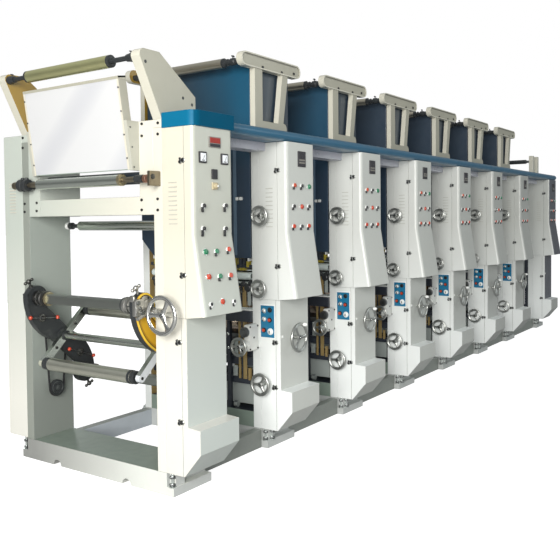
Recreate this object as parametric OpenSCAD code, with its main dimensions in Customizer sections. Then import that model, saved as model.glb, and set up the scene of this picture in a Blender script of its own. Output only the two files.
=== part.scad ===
// Gravure printing machine: a reel stand, six print units in a line and an end frame.
// X runs along the line, Y across the web (operator side is -Y), Z is up from the floor.
// The origin lies on the floor under the reel stand's turret.

/* [Line] */
// Distance from the reel stand to the first print unit
first_gap = 1081; // [1040:1:1200]
// Distance from one print unit to the next
pitch = 1100; // [1080:1:1300]
// Distance from the last print unit to the end frame
last_gap = 1425; // [1200:1:1600]
// Number of print units
unit_count = 6; // [6:1:6]

/* [Frames] */
// Depth of a wall along the line
wall_depth = 350; // [300:1:360]
// Thickness of a unit's wall
wall_t = 69; // [50:1:80]
// Clear width between a unit's walls
clear_width = 1022; // [900:1:1060]
// Extra distance that the reel stand's walls stand out on each side
stand_out = 75; // [60:1:90]
// Height of the walls
wall_top = 2196; // [2150:1:2240]
// Height of the base beams
base_h = 137; // [120:1:150]
// Height of the foot plates
foot_h = 54; // [40:1:60]
// Distance that a foot plate stands out past the wall
foot_out = 54; // [40:1:70]

/* [Cabinets] */
// Width of the operator cabinets along the line
cabinet_w = 368; // [360:1:380]
// Depth of the lower cabinets
cabinet_d = 173; // [150:1:190]
// Bottom of the cabinets
cabinet_z = 139; // [139:1:150]
// Seam between the lower cabinet and the panel box
seam_z = 1073; // [1040:1:1100]
// Depth of the bulge at the cabinet's foot
bulge_d = 94; // [80:1:110]
// Depth of the panel box
panel_d = 240; // [220:1:260]
// Depth that the panel box gains at its lower edge
panel_flare = 74; // [50:1:90]
// Depth of the reel stand's drive cover
cover_d = 202; // [150:1:220]
// Depth of a unit's drive casing
casing_d = 90; // [70:1:95]

/* [Top] */
// Height of the blue rail
rail_h = 72; // [60:1:90]
// Height of the top bracket's arm
bracket_z = 2777; // [2760:1:2800]
// Thickness of the top brackets
bracket_t = 44; // [36:1:50]
// Height of the hood's top
hood_top = 2785; // [2770:1:2795]
// Height of the hood's lower edge
hood_low = 1368; // [1340:1:1420]

/* [Turret] */
// Height of the turret's axis
turret_z = 853; // [840:1:880]
// Distance from the turret's axis to a reel shaft
reel_r = 344; // [335:1:355]
// Distance from the turret's axis to a guide roller
guide_r = 248; // [230:1:260]
// Angle of the upper reel shaft above the line
reel_angle = 126; // [90:1:150]
// Inner face of the turret's arms from the middle
arm_in = 480; // [470:1:490]
// Thickness of the turret's arms
arm_t = 46; // [40:1:50]

/* [Wheels] */
// Diameter of the reel stand's handwheel
stand_wheel = 240; // [200:1:250]
// Diameter of the print units' front handwheels
front_wheel = 216; // [180:1:240]
// Diameter of the handwheel on a register gearbox
gear_wheel = 140; // [110:1:150]

/* [Hidden] */
$fn = 48;
half = wall_depth / 2;
wall_in = clear_width / 2;
wall_out = wall_in + wall_t;
stand_in = wall_in + stand_out;
stand_face = stand_in + 72;
cab_x0 = -half;
cab_x1 = cabinet_w - half;
unit_x = [for (i = [0 : unit_count - 1]) first_gap + i * pitch];
end_x = first_gap + (unit_count - 1) * pitch + last_gap;
column_x = concat(unit_x, [end_x]);
rail_z = wall_top - 4;
wheel_gap = 1;
cylinder_z = 878;
cylinder_r = 100;
deck_z = 252;
wheel_y = -stand_face - 60;
nip_z = 1894;
web_z = bracket_z - 12;

// ---- shared shapes ----

// Box between two corners
module slab(low, high) {
  translate(low) cube(high - low);
}

// Outline in (y, z) drawn out along X
module along_x(x0, x1) {
  translate([x0, 0, 0]) rotate([90, 0, 90]) linear_extrude(x1 - x0) children();
}

// Outline in (x, z) drawn out along Y
module along_y(y0, y1) {
  translate([0, y1, 0]) rotate([90, 0, 0]) linear_extrude(y1 - y0) children();
}

// Round bar along Y
module bar_y(x, z, y0, y1, r) {
  translate([x, y1, z]) rotate([90, 0, 0]) cylinder(h = y1 - y0, r = r);
}

// Round bar along X
module bar_x(y, z, x0, x1, r) {
  translate([x0, y, z]) rotate([0, 90, 0]) cylinder(h = x1 - x0, r = r);
}

// Arc of points about a centre
function arc(cx, cy, r, a0, a1, n = 6) =
  [for (i = [0 : n]) let (a = a0 + (a1 - a0) * i / n) [cx + r * cos(a), cy + r * sin(a)]];

// Roller along Y with thinner journals
module roller(x, z, half_len, r, journal_len, journal_r) {
  bar_y(x, z, -half_len, half_len, r);
  bar_y(x, z, -journal_len, journal_len, journal_r);
}

// Handwheel with its axis along +Z, its hub's back at z = 0 and its rim up at height h
module wheel(d, h, rim = 9) {
  translate([0, 0, h]) rotate_extrude() translate([d / 2 - rim, 0]) circle(r = rim, $fn = 20);
  cylinder(h = h + rim, r = 17);
  for (a = [90, 210, 330]) rotate([0, 0, a]) translate([0, 0, h])
    rotate([0, 90, 0]) cylinder(h = d / 2 - rim, r = 6);
}

// ---- reel stand ----

module stand_base() {
  color("gainsboro") difference() {
    union() {
      slab([-half, -stand_face, 0], [half, stand_face, base_h]);
      slab([-half, -stand_face - foot_out, 0], [half, stand_face + foot_out, foot_h]);
      for (s = [-1, 1]) slab([-half + 30, s < 0 ? -stand_face - 44 : stand_face, foot_h],
        [-half + 110, s < 0 ? -stand_face : stand_face + 44, cabinet_z]);
    }
    for (y = [-315, 345]) bar_x(y, 0, -half - 1, half + 20, 38);
  }
}

module stand_walls() {
  color("ivory") for (s = [-1, 1])
    slab([-half, s < 0 ? -stand_face : stand_in, base_h], [half, s < 0 ? -stand_in : stand_face, wall_top]);
}

module stand_head_boxes() {
  color("ivory") for (s = [-1, 1]) {
    slab([-half, s < 0 ? -stand_in : 470, 1682], [half, s < 0 ? -470 : stand_in, 2245]);
    slab([-half, s < 0 ? -stand_face : stand_in, wall_top], [half, s < 0 ? -stand_in : stand_face, 2245]);
  }
}

module stand_upper_beam() {
  color("ivory") slab([-half, -470, 1682], [-half + 130, 470, 1793]);
}

// Side outline of a lower cabinet with its bulging foot; y0 is the face it stands on
module cabinet_outline(y0) {
  front = y0 - cabinet_d;
  bulge = front - bulge_d;
  polygon([[y0, cabinet_z], [front + 30, cabinet_z], [bulge, 287], [bulge, 430], [front, 436],
    [front, seam_z], [y0, seam_z]]);
}

// Side outline of a panel box that flares out at its lower edge
module panel_outline(y0) {
  front = y0 - panel_d;
  polygon([[y0, seam_z], [y0 - cabinet_d, seam_z], [front - panel_flare, seam_z + 18],
    [front, 1560], [front, wall_top - 6], [y0, wall_top - 6]]);
}

module stand_cabinet() {
  color("ivory") along_x(cab_x0, cab_x1) cabinet_outline(-stand_face);
}

module stand_panel_box() {
  color("ivory") along_x(cab_x0, cab_x1) panel_outline(-stand_face);
}

module stand_cap() {
  front = -stand_face - panel_d - 14;
  r = 60;
  color("steelblue") translate([0, 0, wall_top - 6]) linear_extrude(91)
    polygon(concat(arc(cab_x0 - 4 + r, front + r, r, 180, 270),
      [[cab_x1 + 4, front], [cab_x1 + 4, -stand_face], [cab_x0 - 4, -stand_face]]));
}

module stand_drive_cover() {
  color("ivory") slab([cab_x0, stand_face, cabinet_z], [cab_x1, stand_face + cover_d, 2245]);
}

// Outline of the fan-shaped bracket on the reel stand's head
module fan_outline() {
  polygon(concat([[-171, 2245], [-346, 2590]], arc(-308, 2597, 38, 170, 95, 4),
    [[-183, 2634], [135, 2409], [135, 2245]]));
}

module stand_top_brackets() {
  color("wheat") for (s = [-1, 1])
    along_y(s < 0 ? -stand_face : stand_in, s < 0 ? -stand_in : stand_face) fan_outline();
  color("dimgray") for (s = [-1, 1])
    bar_y(-313, 2593, s < 0 ? -stand_in : stand_in - 60, s < 0 ? -stand_in + 60 : stand_in, 22);
}

// Slanting board with a cheek plate on each side that joins it to the head boxes
module inspection_board() {
  color("white") along_y(-446, 446)
    polygon([[-315, 2502], [-231, 1952], [-168, 1962], [-252, 2512]]);
  color("ivory") for (s = [-1, 1]) along_y(s < 0 ? -470 : 446, s < 0 ? -446 : 470)
    polygon([[-275, 2245], [-230, 1950], [-half + 15, 1950], [-half + 15, 2245]]);
}

// Bearing blocks of the nip roller on the front of the reel stand
module nip_bearings() {
  color("rosybrown") {
    slab([-268, -645, nip_z - 44], [-half, -625, nip_z + 44]);
    bar_y(-240, nip_z, -626, -575, 24);
    slab([-240, 515, nip_z - 28], [-half, 585, nip_z + 28]);
    bar_y(-240, nip_z, 500, 592, 43);
    bar_y(-240, nip_z, 590, 655, 26);
  }
}

// Loop of belt with its small pulley behind the drive arm
module brake_belt() {
  y0 = stand_in - 42;
  color("black") {
    along_y(y0, y0 + 14) difference() {
      hull() {
        translate([0, turret_z]) circle(r = 92);
        translate([-2, 475]) circle(r = 62);
      }
      hull() {
        translate([0, turret_z]) circle(r = 86);
        translate([-2, 475]) circle(r = 56);
      }
    }
    bar_y(-2, 475, y0 - 4, y0 + 18, 55.5);
    bar_y(-2, 475, y0, stand_in, 14);
  }
}

// ---- turret ----

reel_dx = reel_r * cos(reel_angle);
reel_dz = reel_r * sin(reel_angle);
guide_angle = reel_angle + 96;
guide_dx = guide_r * cos(guide_angle);
guide_dz = guide_r * sin(guide_angle);

// Half of the S-shaped arm: a round lobe, a slanting waist and a bulging outer edge
module arm_half() {
  lobe = 84;
  waist = 67;
  u = reel_r * cos(reel_angle + 42.5);
  v = reel_r * sin(reel_angle + 42.5);
  rotate(-42.5) {
    translate([u, v]) circle(r = lobe);
    translate([-280, -waist]) square([280, v + waist]);
    intersection() {
      translate([-159.5, v + 169]) circle(r = 329);
      polygon([[u, v], [0, v], [0, -2 * lobe], [u - lobe, -2 * lobe], [u - lobe, v - 30]]);
    }
  }
}

module arm_outline() {
  arm_half();
  rotate(180) arm_half();
}

module turret_arms() {
  color("dimgray") translate([0, 0, turret_z]) for (s = [-1, 1]) {
    y0 = s < 0 ? -arm_in - arm_t : arm_in;
    along_y(y0, y0 + arm_t) arm_outline();
    bar_y(0, 0, s < 0 ? 2 - stand_in : y0 + arm_t, s < 0 ? y0 : stand_in - 2, 32);
  }
}

module turret_tube() {
  color("silver") translate([0, 0, turret_z]) {
    bar_y(0, 0, -arm_in, arm_in, 25);
    for (s = [-1, 1], e = [-1, 1]) {
      y0 = e < 0 ? -arm_in + 4 : arm_in - 38;
      along_y(y0, y0 + 34) rotate(guide_angle) {
        translate([s < 0 ? -guide_r : 0, -26]) square([guide_r, 52]);
        translate([s * guide_r, 0]) circle(r = 26);
      }
    }
  }
}

module turret_guide_rollers() {
  color("silver") translate([0, 0, turret_z]) for (s = [-1, 1]) {
    bar_y(s * guide_dx, s * guide_dz, -398, 398, 42);
    bar_y(s * guide_dx, s * guide_dz, -arm_in + 38, arm_in - 38, 14);
  }
}

// Square reel shaft between its chucks
module reel_shaft(s) {
  a = 32;
  b = 25;
  color("silver") translate([s * reel_dx, 0, turret_z + s * reel_dz]) {
    along_y(-374, 374) polygon([[a, -b], [a, b], [b, a], [-b, a], [-a, b], [-a, -b], [-b, -a], [b, -a]]);
    for (e = [-1, 1]) bar_y(0, 0, e < 0 ? -arm_in + 2 : 372, e < 0 ? -372 : arm_in - 2, 52);
  }
}

module upper_reel_shaft() reel_shaft(1);
module lower_reel_shaft() reel_shaft(-1);

// ---- reel stand rollers and handwheel ----

module stand_top_roller() {
  color("tan") roller(-313, 2593, 390, 38, stand_in - 61, 15);
}

module stand_nip_roller() {
  color("silver") {
    bar_y(-240, nip_z, -392, 392, 35);
    bar_y(-240, nip_z, -573, 498, 17);
    bar_y(-240, nip_z, -571, -507, 24);
  }
}

module stand_rubber_roller() {
  color("darkslategray") roller(-112, 1910, 440, 38, 468, 20);
}

module stand_guide_roller() {
  color("silver") roller(150, 1615, 446, 32, stand_in - 2, 14);
}

module stand_handwheel() {
  color("silver") translate([cab_x0 - wheel_gap, wheel_y, 1095]) rotate([0, -90, 0])
    wheel(stand_wheel, 88, 11);
}

// ---- print units ----

module unit_feet() {
  color("lightgray") for (x = column_x) translate([x, 0, 0]) {
    slab([-half, -wall_out, 0], [half, wall_out, base_h]);
    slab([-half, -wall_out - foot_out, 0], [half, wall_out + foot_out, foot_h]);
    for (s = [-1, 1]) slab([-half + 20, s < 0 ? -wall_out - 44 : wall_out, foot_h],
      [-half + 100, s < 0 ? -wall_out : wall_out + 44, cabinet_z]);
  }
}

module base_rails() {
  color("darkgray") for (s = [-1, 1], i = [0 : unit_count]) {
    x0 = (i == 0 ? 0 : column_x[i - 1]) + half;
    slab([x0, s < 0 ? -wall_out : wall_in, 0],
      [column_x[i] - half, s < 0 ? -wall_in : wall_out, base_h - 7]);
  }
}

module unit_walls() {
  color("gainsboro") for (x = column_x, s = [-1, 1])
    slab([x - half, s < 0 ? -wall_out : wall_in, base_h], [x + half, s < 0 ? -wall_in : wall_out, wall_top]);
}

// Floor of a unit between its walls
module unit_decks() {
  color("lightgray") for (x = unit_x) slab([x - half, -wall_in, base_h], [x + half, wall_in, deck_z]);
}

module lower_cabinets() {
  color("gainsboro") for (x = column_x) along_x(x + cab_x0, x + cab_x1) cabinet_outline(-wall_out);
}

module panel_boxes() {
  color("gainsboro") for (x = column_x) along_x(x + cab_x0, x + cab_x1) panel_outline(-wall_out);
}

// Closed gear casing on the drive side of each unit
module drive_casings() {
  color("gainsboro") for (x = unit_x)
    slab([x + half - 100, wall_out, 560], [x + half, wall_out + casing_d, 1240]);
}

module cable_troughs() {
  color("gray") for (i = [0 : unit_count]) {
    x0 = (i == 0 ? 0 : column_x[i - 1]) + cab_x1;
    slab([x0, -wall_out - 60, wall_top - 64], [column_x[i] - half, -wall_in, rail_z]);
  }
}

// Blue rail over the cabinets with a half-round nose
module top_rail() {
  y1 = -wall_out;
  nose = -wall_out - panel_d + rail_h / 2;
  color("steelblue") {
    slab([cab_x1 + 4, nose, rail_z], [end_x + cab_x1 + 6, y1, rail_z + rail_h]);
    bar_x(nose, rail_z + rail_h / 2, cab_x1 + 4, end_x + cab_x1 + 6, rail_h / 2);
  }
}

// Side outline of a dryer hood in (x, z) about the unit's middle
module hood_outline() {
  polygon([[-half, hood_top], [-half, hood_low], [30, hood_low], [320, 1640], [320, hood_top]]);
}

// Section of a hood in (y, z) with its lower drive corner cut off
module hood_section(y1, z1, top) {
  polygon([[3 - wall_in, hood_low], [wall_in - 60, hood_low], [y1, z1], [y1, top], [3 - wall_in, top]]);
}

// Each hood has a front plate that laps over the drive wall
module dryer_hoods() {
  color("darkslateblue") for (x = unit_x) translate([x, 0, 0]) {
    intersection() {
      along_y(3 - wall_in, wall_in - 3) hood_outline();
      along_x(-half, 320) hood_section(wall_in - 3, 1460, hood_top);
    }
    along_x(-half - 10, -half) hood_section(wall_out, 1495, wall_top);
  }
}

// Outline of a top bracket in (x, z) about the unit's middle: arm, two legs and base
module bracket_outline() {
  r = 50;
  leg = -half - 15;
  x0 = -half - 175 + r;
  x1 = -half + 577 - r;
  foot = wall_top;
  difference() {
    union() {
      translate([x0, bracket_z]) circle(r = r);
      translate([x1, bracket_z]) circle(r = r);
      translate([x0, bracket_z - r]) square([x1 - x0, 2 * r]);
      polygon(concat([[leg, foot], [leg, bracket_z], [-half + 420, bracket_z],
        [-half + 345, 2365]], arc(-half + 350, 2325, 40, 80, 0, 4), [[-half + 390, foot]]));
    }
    polygon([[-half + 78, bracket_z - r], [-half + 336, bracket_z - r], [-half + 276, 2360],
      [-half + 78, 2360]]);
  }
}

module top_brackets() {
  color("wheat") for (x = unit_x, y0 = [-wall_in - 11 - bracket_t, wall_in + 11])
    translate([x, 0, 0]) along_y(y0, y0 + bracket_t) bracket_outline();
}

web_x = -half - 119;
web_half = 370;

module web_rollers() {
  color("gray") for (x = unit_x) translate([x, 0, 0]) {
    bar_y(web_x, web_z, -web_half, web_half, 34);
    bar_y(web_x, web_z, -wall_in - 11, wall_in + 11, 15);
    for (s = [-1, 1]) bar_y(web_x, web_z, s < 0 ? -wall_in - 11 : 470, s < 0 ? -470 : wall_in + 11, 26);
  }
  color("gray") bar_y(end_x - half + 55, 2470, -wall_in - 5, wall_in + 5, 30);
}

// Chrome guide roller with a tie rod above and below it, near each unit's front
module guide_rollers() {
  color("silver") for (x = unit_x) translate([x, 0, 0]) {
    bar_y(-half + 30, 1236, -wall_in, wall_in, 28);
    bar_y(-half + 24, 1186, -wall_in, wall_in, 7);
    bar_y(-half + 10, 1000, -wall_in, wall_in, 8);
    bar_y(80, 1190, -wall_in, wall_in, 28);
  }
}

// Rubber rollers, lifted off the print cylinders
module impression_rollers() {
  color("black") for (x = unit_x) translate([x, 0, 0]) {
    bar_y(0, 1120, -wall_in + 40, wall_in - 40, 52);
    bar_y(0, 1120, -wall_in, wall_in, 24);
  }
}

module print_cylinder(i) {
  color("silver") translate([unit_x[i - 1], 0, 0])
    roller(0, cylinder_z, 440, cylinder_r, wall_in - 2, 28);
}

module print_cylinder_1() print_cylinder(1);
module print_cylinder_2() print_cylinder(2);
module print_cylinder_3() print_cylinder(3);
module print_cylinder_4() print_cylinder(4);
module print_cylinder_5() print_cylinder(5);
module print_cylinder_6() print_cylinder(6);

module ink_trays() {
  color("dimgray") for (x = unit_x) slab([x - 120, -465, 634], [x + 150, 465, 764]);
}

// Ink tank between the deck and the lower bars, on castors
module ink_tanks() {
  color("slategray") for (x = unit_x) translate([x, 0, 0]) {
    slab([-half + 62, -470, 284], [half - 20, 470, 438]);
    for (s = [-1, 1], cx = [-half + 50, half - 44]) {
      bar_y(cx, deck_z + 22, s * 320 - 14, s * 320 + 14, 22);
    }
  }
}

// Cross bars from wall to wall at the front and back of each unit
module frame_bars() {
  color("darkslategray") for (x = unit_x, z = [438, 576], e = [0, 1]) {
    x0 = x + (e == 0 ? -half + 30 : half - 56);
    slab([x0, -wall_in, z], [x0 + (e == 0 ? 32 : 30), wall_in, z + (z < 500 ? 46 : 58)]);
  }
}

// Uprights in front of the cross bars
module frame_posts() {
  color("darkslategray") for (x = unit_x, s = [-1, 1])
    slab([x - half + 2, s * 285 - 14, deck_z], [x - half + 30, s * 285 + 14, 900]);
}

// Doctor blade holders in front of the print cylinders
module doctor_blades() {
  color("gray") for (x = unit_x) translate([x, 0, 0]) along_y(-wall_in, wall_in)
    polygon([[-200, 905], [-200, 985], [-150, 985], [-114, 930], [-106, 916], [-118, 905]]);
}

// Register gearbox on the front of each operator wall, with its flange and hub
module register_gearboxes() {
  color("silver") for (x = unit_x) translate([x - half, 0, 0]) {
    slab([-125, -565, 710], [0, -515, 900]);
    bar_x(-532, 838, -150, -125, 46);
    bar_x(-540, 755, -150, -125, 34);
  }
}

// Handwheels on the front of each operator wall and on its register gearbox
module side_handwheels() {
  color("silver") for (x = unit_x) translate([x - half, 0, 0]) {
    for (w = [[-622, 1674, 145], [-606, 1155, 135], [-614, 470, 165]])
      translate([0, w[0], w[1]]) rotate([0, -90, 0]) wheel(w[2], 60, 8);
    translate([-150, -540, 755]) rotate([0, -90, 0]) wheel(gear_wheel, 60, 8);
  }
}

module end_posts() {
  color("gainsboro") for (s = [-1, 1], x0 = [-half + 20, half - 90]) translate([end_x, 0, 0])
    slab([x0, s < 0 ? -wall_out + 5 : wall_in + 5, wall_top],
      [x0 + 70, s < 0 ? -wall_in - 5 : wall_out - 5, 2552]);
}

// Front handwheel on a unit's lower cabinet, facing the operator
module front_handwheel(i) {
  color("silver") translate([unit_x[i - 1] - half + 150, -wall_out - cabinet_d - wheel_gap, 797])
    rotate([90, 0, 0]) wheel(front_wheel, 62, 8);
}

module handwheel_1() front_handwheel(1);
module handwheel_2() front_handwheel(2);
module handwheel_3() front_handwheel(3);
module handwheel_4() front_handwheel(4);
module handwheel_5() front_handwheel(5);
module handwheel_6() front_handwheel(6);

stand_base();
stand_walls();
stand_head_boxes();
stand_upper_beam();
stand_cabinet();
stand_panel_box();
stand_cap();
stand_drive_cover();
stand_top_brackets();
inspection_board();
brake_belt();
nip_bearings();
turret_arms();
turret_tube();
turret_guide_rollers();
upper_reel_shaft();
lower_reel_shaft();
stand_top_roller();
stand_nip_roller();
stand_rubber_roller();
stand_guide_roller();
stand_handwheel();
unit_feet();
base_rails();
unit_walls();
unit_decks();
lower_cabinets();
panel_boxes();
drive_casings();
cable_troughs();
top_rail();
dryer_hoods();
top_brackets();
web_rollers();
guide_rollers();
impression_rollers();
ink_trays();
ink_tanks();
frame_bars();
frame_posts();
doctor_blades();
register_gearboxes();
side_handwheels();
end_posts();
print_cylinder_1();
print_cylinder_2();
print_cylinder_3();
print_cylinder_4();
print_cylinder_5();
print_cylinder_6();
handwheel_1();
handwheel_2();
handwheel_3();
handwheel_4();
handwheel_5();
handwheel_6();
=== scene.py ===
"""Looks of a gravure printing machine: a turret reel stand, six print units and an end frame.

Each sub-assembly is a class that holds its sizes and dresses its own CAD nodes. Lengths are metres in the CAD frame,
and millimetres inside mm(): X along the line from the reel stand, Y to the drive side, Z up from the floor.
"""

import logging
import math
from dataclasses import dataclass, field
from enum import Enum
from functools import lru_cache, partial
from typing import Callable, Iterable, Iterator, Optional, Sequence

import bmesh
import bpy
from mathutils import Matrix, Vector


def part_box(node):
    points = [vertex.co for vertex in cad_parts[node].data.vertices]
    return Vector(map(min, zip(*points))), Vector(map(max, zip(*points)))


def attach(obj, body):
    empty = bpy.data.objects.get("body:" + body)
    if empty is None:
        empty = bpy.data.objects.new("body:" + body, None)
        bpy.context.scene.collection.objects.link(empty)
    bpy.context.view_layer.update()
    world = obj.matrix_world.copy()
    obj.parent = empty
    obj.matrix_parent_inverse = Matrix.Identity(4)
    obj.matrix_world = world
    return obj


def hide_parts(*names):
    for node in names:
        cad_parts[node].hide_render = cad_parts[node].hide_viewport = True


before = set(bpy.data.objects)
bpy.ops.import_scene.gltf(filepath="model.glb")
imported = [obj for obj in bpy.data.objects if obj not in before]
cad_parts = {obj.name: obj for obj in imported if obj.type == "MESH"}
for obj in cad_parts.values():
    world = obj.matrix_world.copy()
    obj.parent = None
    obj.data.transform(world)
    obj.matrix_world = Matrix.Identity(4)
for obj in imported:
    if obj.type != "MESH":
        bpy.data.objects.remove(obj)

log = logging.getLogger("press")
Colour = tuple[float, float, float]
Point = Sequence[float]
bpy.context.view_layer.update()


class Side(Enum):
    """The two sides of the line."""

    OPERATOR = -1
    DRIVE = 1


AHEAD, UP = (-1.0, 0.0, 0.0), (0.0, 0.0, 1.0)
TO_OPERATOR, TO_DRIVE = (0.0, -1.0, 0.0), (0.0, 1.0, 0.0)
BOTH = (-1, 1)
WELD, FLAT_ANGLE = 1e-5, 0.015
BEVEL_ANGLE, CREASE_ANGLE = 0.5, 0.62
LEAN = 0.7
ORDER = {"x": (2, 0, 1), "y": (0, 2, 1)}


def mm(*numbers: float, step: int = 2) -> list[tuple[float, ...]]:
    """Groups millimetres into pairs, or longer rows, of metres."""
    return [tuple(n / 1000 for n in numbers[i : i + step]) for i in range(0, len(numbers), step)]


# ---------------------------------------------------------------- finishes


def plug(tree: bpy.types.NodeTree, socket: bpy.types.NodeSocket, value: object) -> None:
    """Links a value to an input if it is a socket, or else sets it there.

    Args:
        tree: The tree.
        socket: The input.
        value: A socket or a plain value.
    """
    if isinstance(value, bpy.types.NodeSocket):
        tree.links.new(value, socket)
    else:
        socket.default_value = value


def add_node(
    tree: bpy.types.NodeTree, kind: str, values: Optional[dict] = None, **attributes: object
) -> bpy.types.Node:
    """Adds a node to a tree.

    Args:
        tree: The tree.
        kind: The node's type name.
        values: Input values or sockets, by input name or number.
        **attributes: Settings of the node itself.

    Returns:
        The new node.
    """
    made = tree.nodes.new(kind)
    for key, value in attributes.items():
        setattr(made, key, value)
    for key, value in (values or {}).items():
        plug(tree, made.inputs[key], value)
    return made


class Wiring:
    """Node tree of one material while it is made."""

    def __init__(self, name: str) -> None:
        """Starts a material with a Principled shader.

        Args:
            name: The material's name.
        """
        self.material = bpy.data.materials.new(name)
        self.material.use_nodes = True
        self.tree = self.material.node_tree
        self.tree.nodes.clear()
        self.shader = self.node("ShaderNodeBsdfPrincipled")
        self.node("ShaderNodeOutputMaterial", {0: self.shader.outputs[0]})
        self.coord = self.node("ShaderNodeTexCoord").outputs["Object"]

    def node(self, kind: str, values: Optional[dict] = None, **attributes: object) -> bpy.types.Node:
        """Adds a node to the material's tree."""
        return add_node(self.tree, kind, values, **attributes)

    def stretched(self, stretch: Point) -> bpy.types.NodeSocket:
        """Returns the object coordinates scaled by three factors."""
        return self.node("ShaderNodeMapping", {"Vector": self.coord, "Scale": tuple(stretch)}).outputs[0]

    def noise(self, scale: float, detail: float = 3.0, stretch: Optional[Point] = None) -> bpy.types.NodeSocket:
        """Adds a noise pattern.

        Args:
            scale: Features per metre, roughly.
            detail: Octaves of the noise.
            stretch: Factors on the coordinates, for streaks and rings.

        Returns:
            The pattern's value socket.
        """
        vector = self.stretched(stretch) if stretch else self.coord
        return self.node("ShaderNodeTexNoise", {"Vector": vector, "Scale": scale, "Detail": detail}).outputs[0]

    def span(self, value: bpy.types.NodeSocket, low: float, high: float, a: float, b: float) -> bpy.types.NodeSocket:
        """Maps a value from one span to another, held at the ends.

        Args:
            value: The socket to map.
            low: Start of the first span.
            high: End of the first span.
            a: Result at the start.
            b: Result at the end.

        Returns:
            The mapped value's socket.
        """
        keys = {"Value": value, "From Min": low, "From Max": high, "To Min": a, "To Max": b}
        return self.node("ShaderNodeMapRange", keys).outputs[0]

    def blend(self, share: bpy.types.NodeSocket, a: object, b: object) -> bpy.types.NodeSocket:
        """Mixes two colours.

        Args:
            share: Share of the second colour.
            a: First colour or socket.
            b: Second colour or socket.

        Returns:
            The mixed colour's socket.
        """
        a, b = (c if isinstance(c, bpy.types.NodeSocket) else (*c, 1.0) for c in (a, b))
        mix = self.node("ShaderNodeMix", data_type="RGBA")
        for index, value in ((0, share), (6, a), (7, b)):
            plug(self.tree, mix.inputs[index], value)
        return mix.outputs[2]

    def times(self, a: bpy.types.NodeSocket, b: object) -> bpy.types.NodeSocket:
        """Returns the product of two values."""
        return self.node("ShaderNodeMath", {0: a, 1: b}, operation="MULTIPLY").outputs[0]

    def edges(self, radius: float) -> bpy.types.NodeSocket:
        """Finds the edges of a shape.

        Args:
            radius: Width of the band along an edge.

        Returns:
            A value that is 1 on an edge and 0 on a flat.
        """
        soft = self.node("ShaderNodeBevel", {"Radius": radius}, samples=4).outputs[0]
        hard = self.node("ShaderNodeNewGeometry").outputs["Normal"]
        near = self.node("ShaderNodeVectorMath", {0: soft, 1: hard}, operation="DOT_PRODUCT").outputs["Value"]
        return self.span(near, 0.995, 0.9, 0.0, 1.0)

    def bump(self, height: bpy.types.NodeSocket, strength: float, depth: float) -> None:
        """Joins a bump to the shader.

        Args:
            height: The pattern that is raised.
            strength: Share of the bump, 0 to 1.
            depth: Height of the bump in metres.
        """
        made = self.node("ShaderNodeBump", {"Height": height, "Strength": strength, "Distance": depth})
        self.tree.links.new(made.outputs[0], self.shader.inputs["Normal"])

    def put(self, **inputs: object) -> None:
        """Sets or links inputs of the shader, named with _ for a space."""
        for name, value in inputs.items():
            plug(self.tree, self.shader.inputs[name.replace("_", " ")], value)

    def patches(
        self, scale: float, detail: float, low: float, high: float, a: float, b: float
    ) -> bpy.types.NodeSocket:
        """Returns a noise pattern's values between low and high, mapped to a and b."""
        return self.span(self.noise(scale, detail), low, high, a, b)

    def rough(self, scale: float, detail: float, low: float, high: float) -> None:
        """Makes the roughness wander between two values."""
        self.put(Roughness=self.patches(scale, detail, 0.3, 0.7, low, high))


@dataclass(frozen=True)
class Finish:
    """Anything a surface can be made of."""

    name: str
    slot: str
    colour: Colour

    def faded(self, share: float) -> Colour:
        """Returns the colour times a share."""
        return tuple(c * share for c in self.colour)

    def shades(self, share: float) -> tuple[Colour, Colour]:
        """Returns the colour a share darker and a share lighter."""
        return self.faded(1 - share), tuple(min(1.0, c * (1 + share)) for c in self.colour)

    def make(self) -> bpy.types.Material:
        """Returns the finished material."""
        raise NotImplementedError


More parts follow.
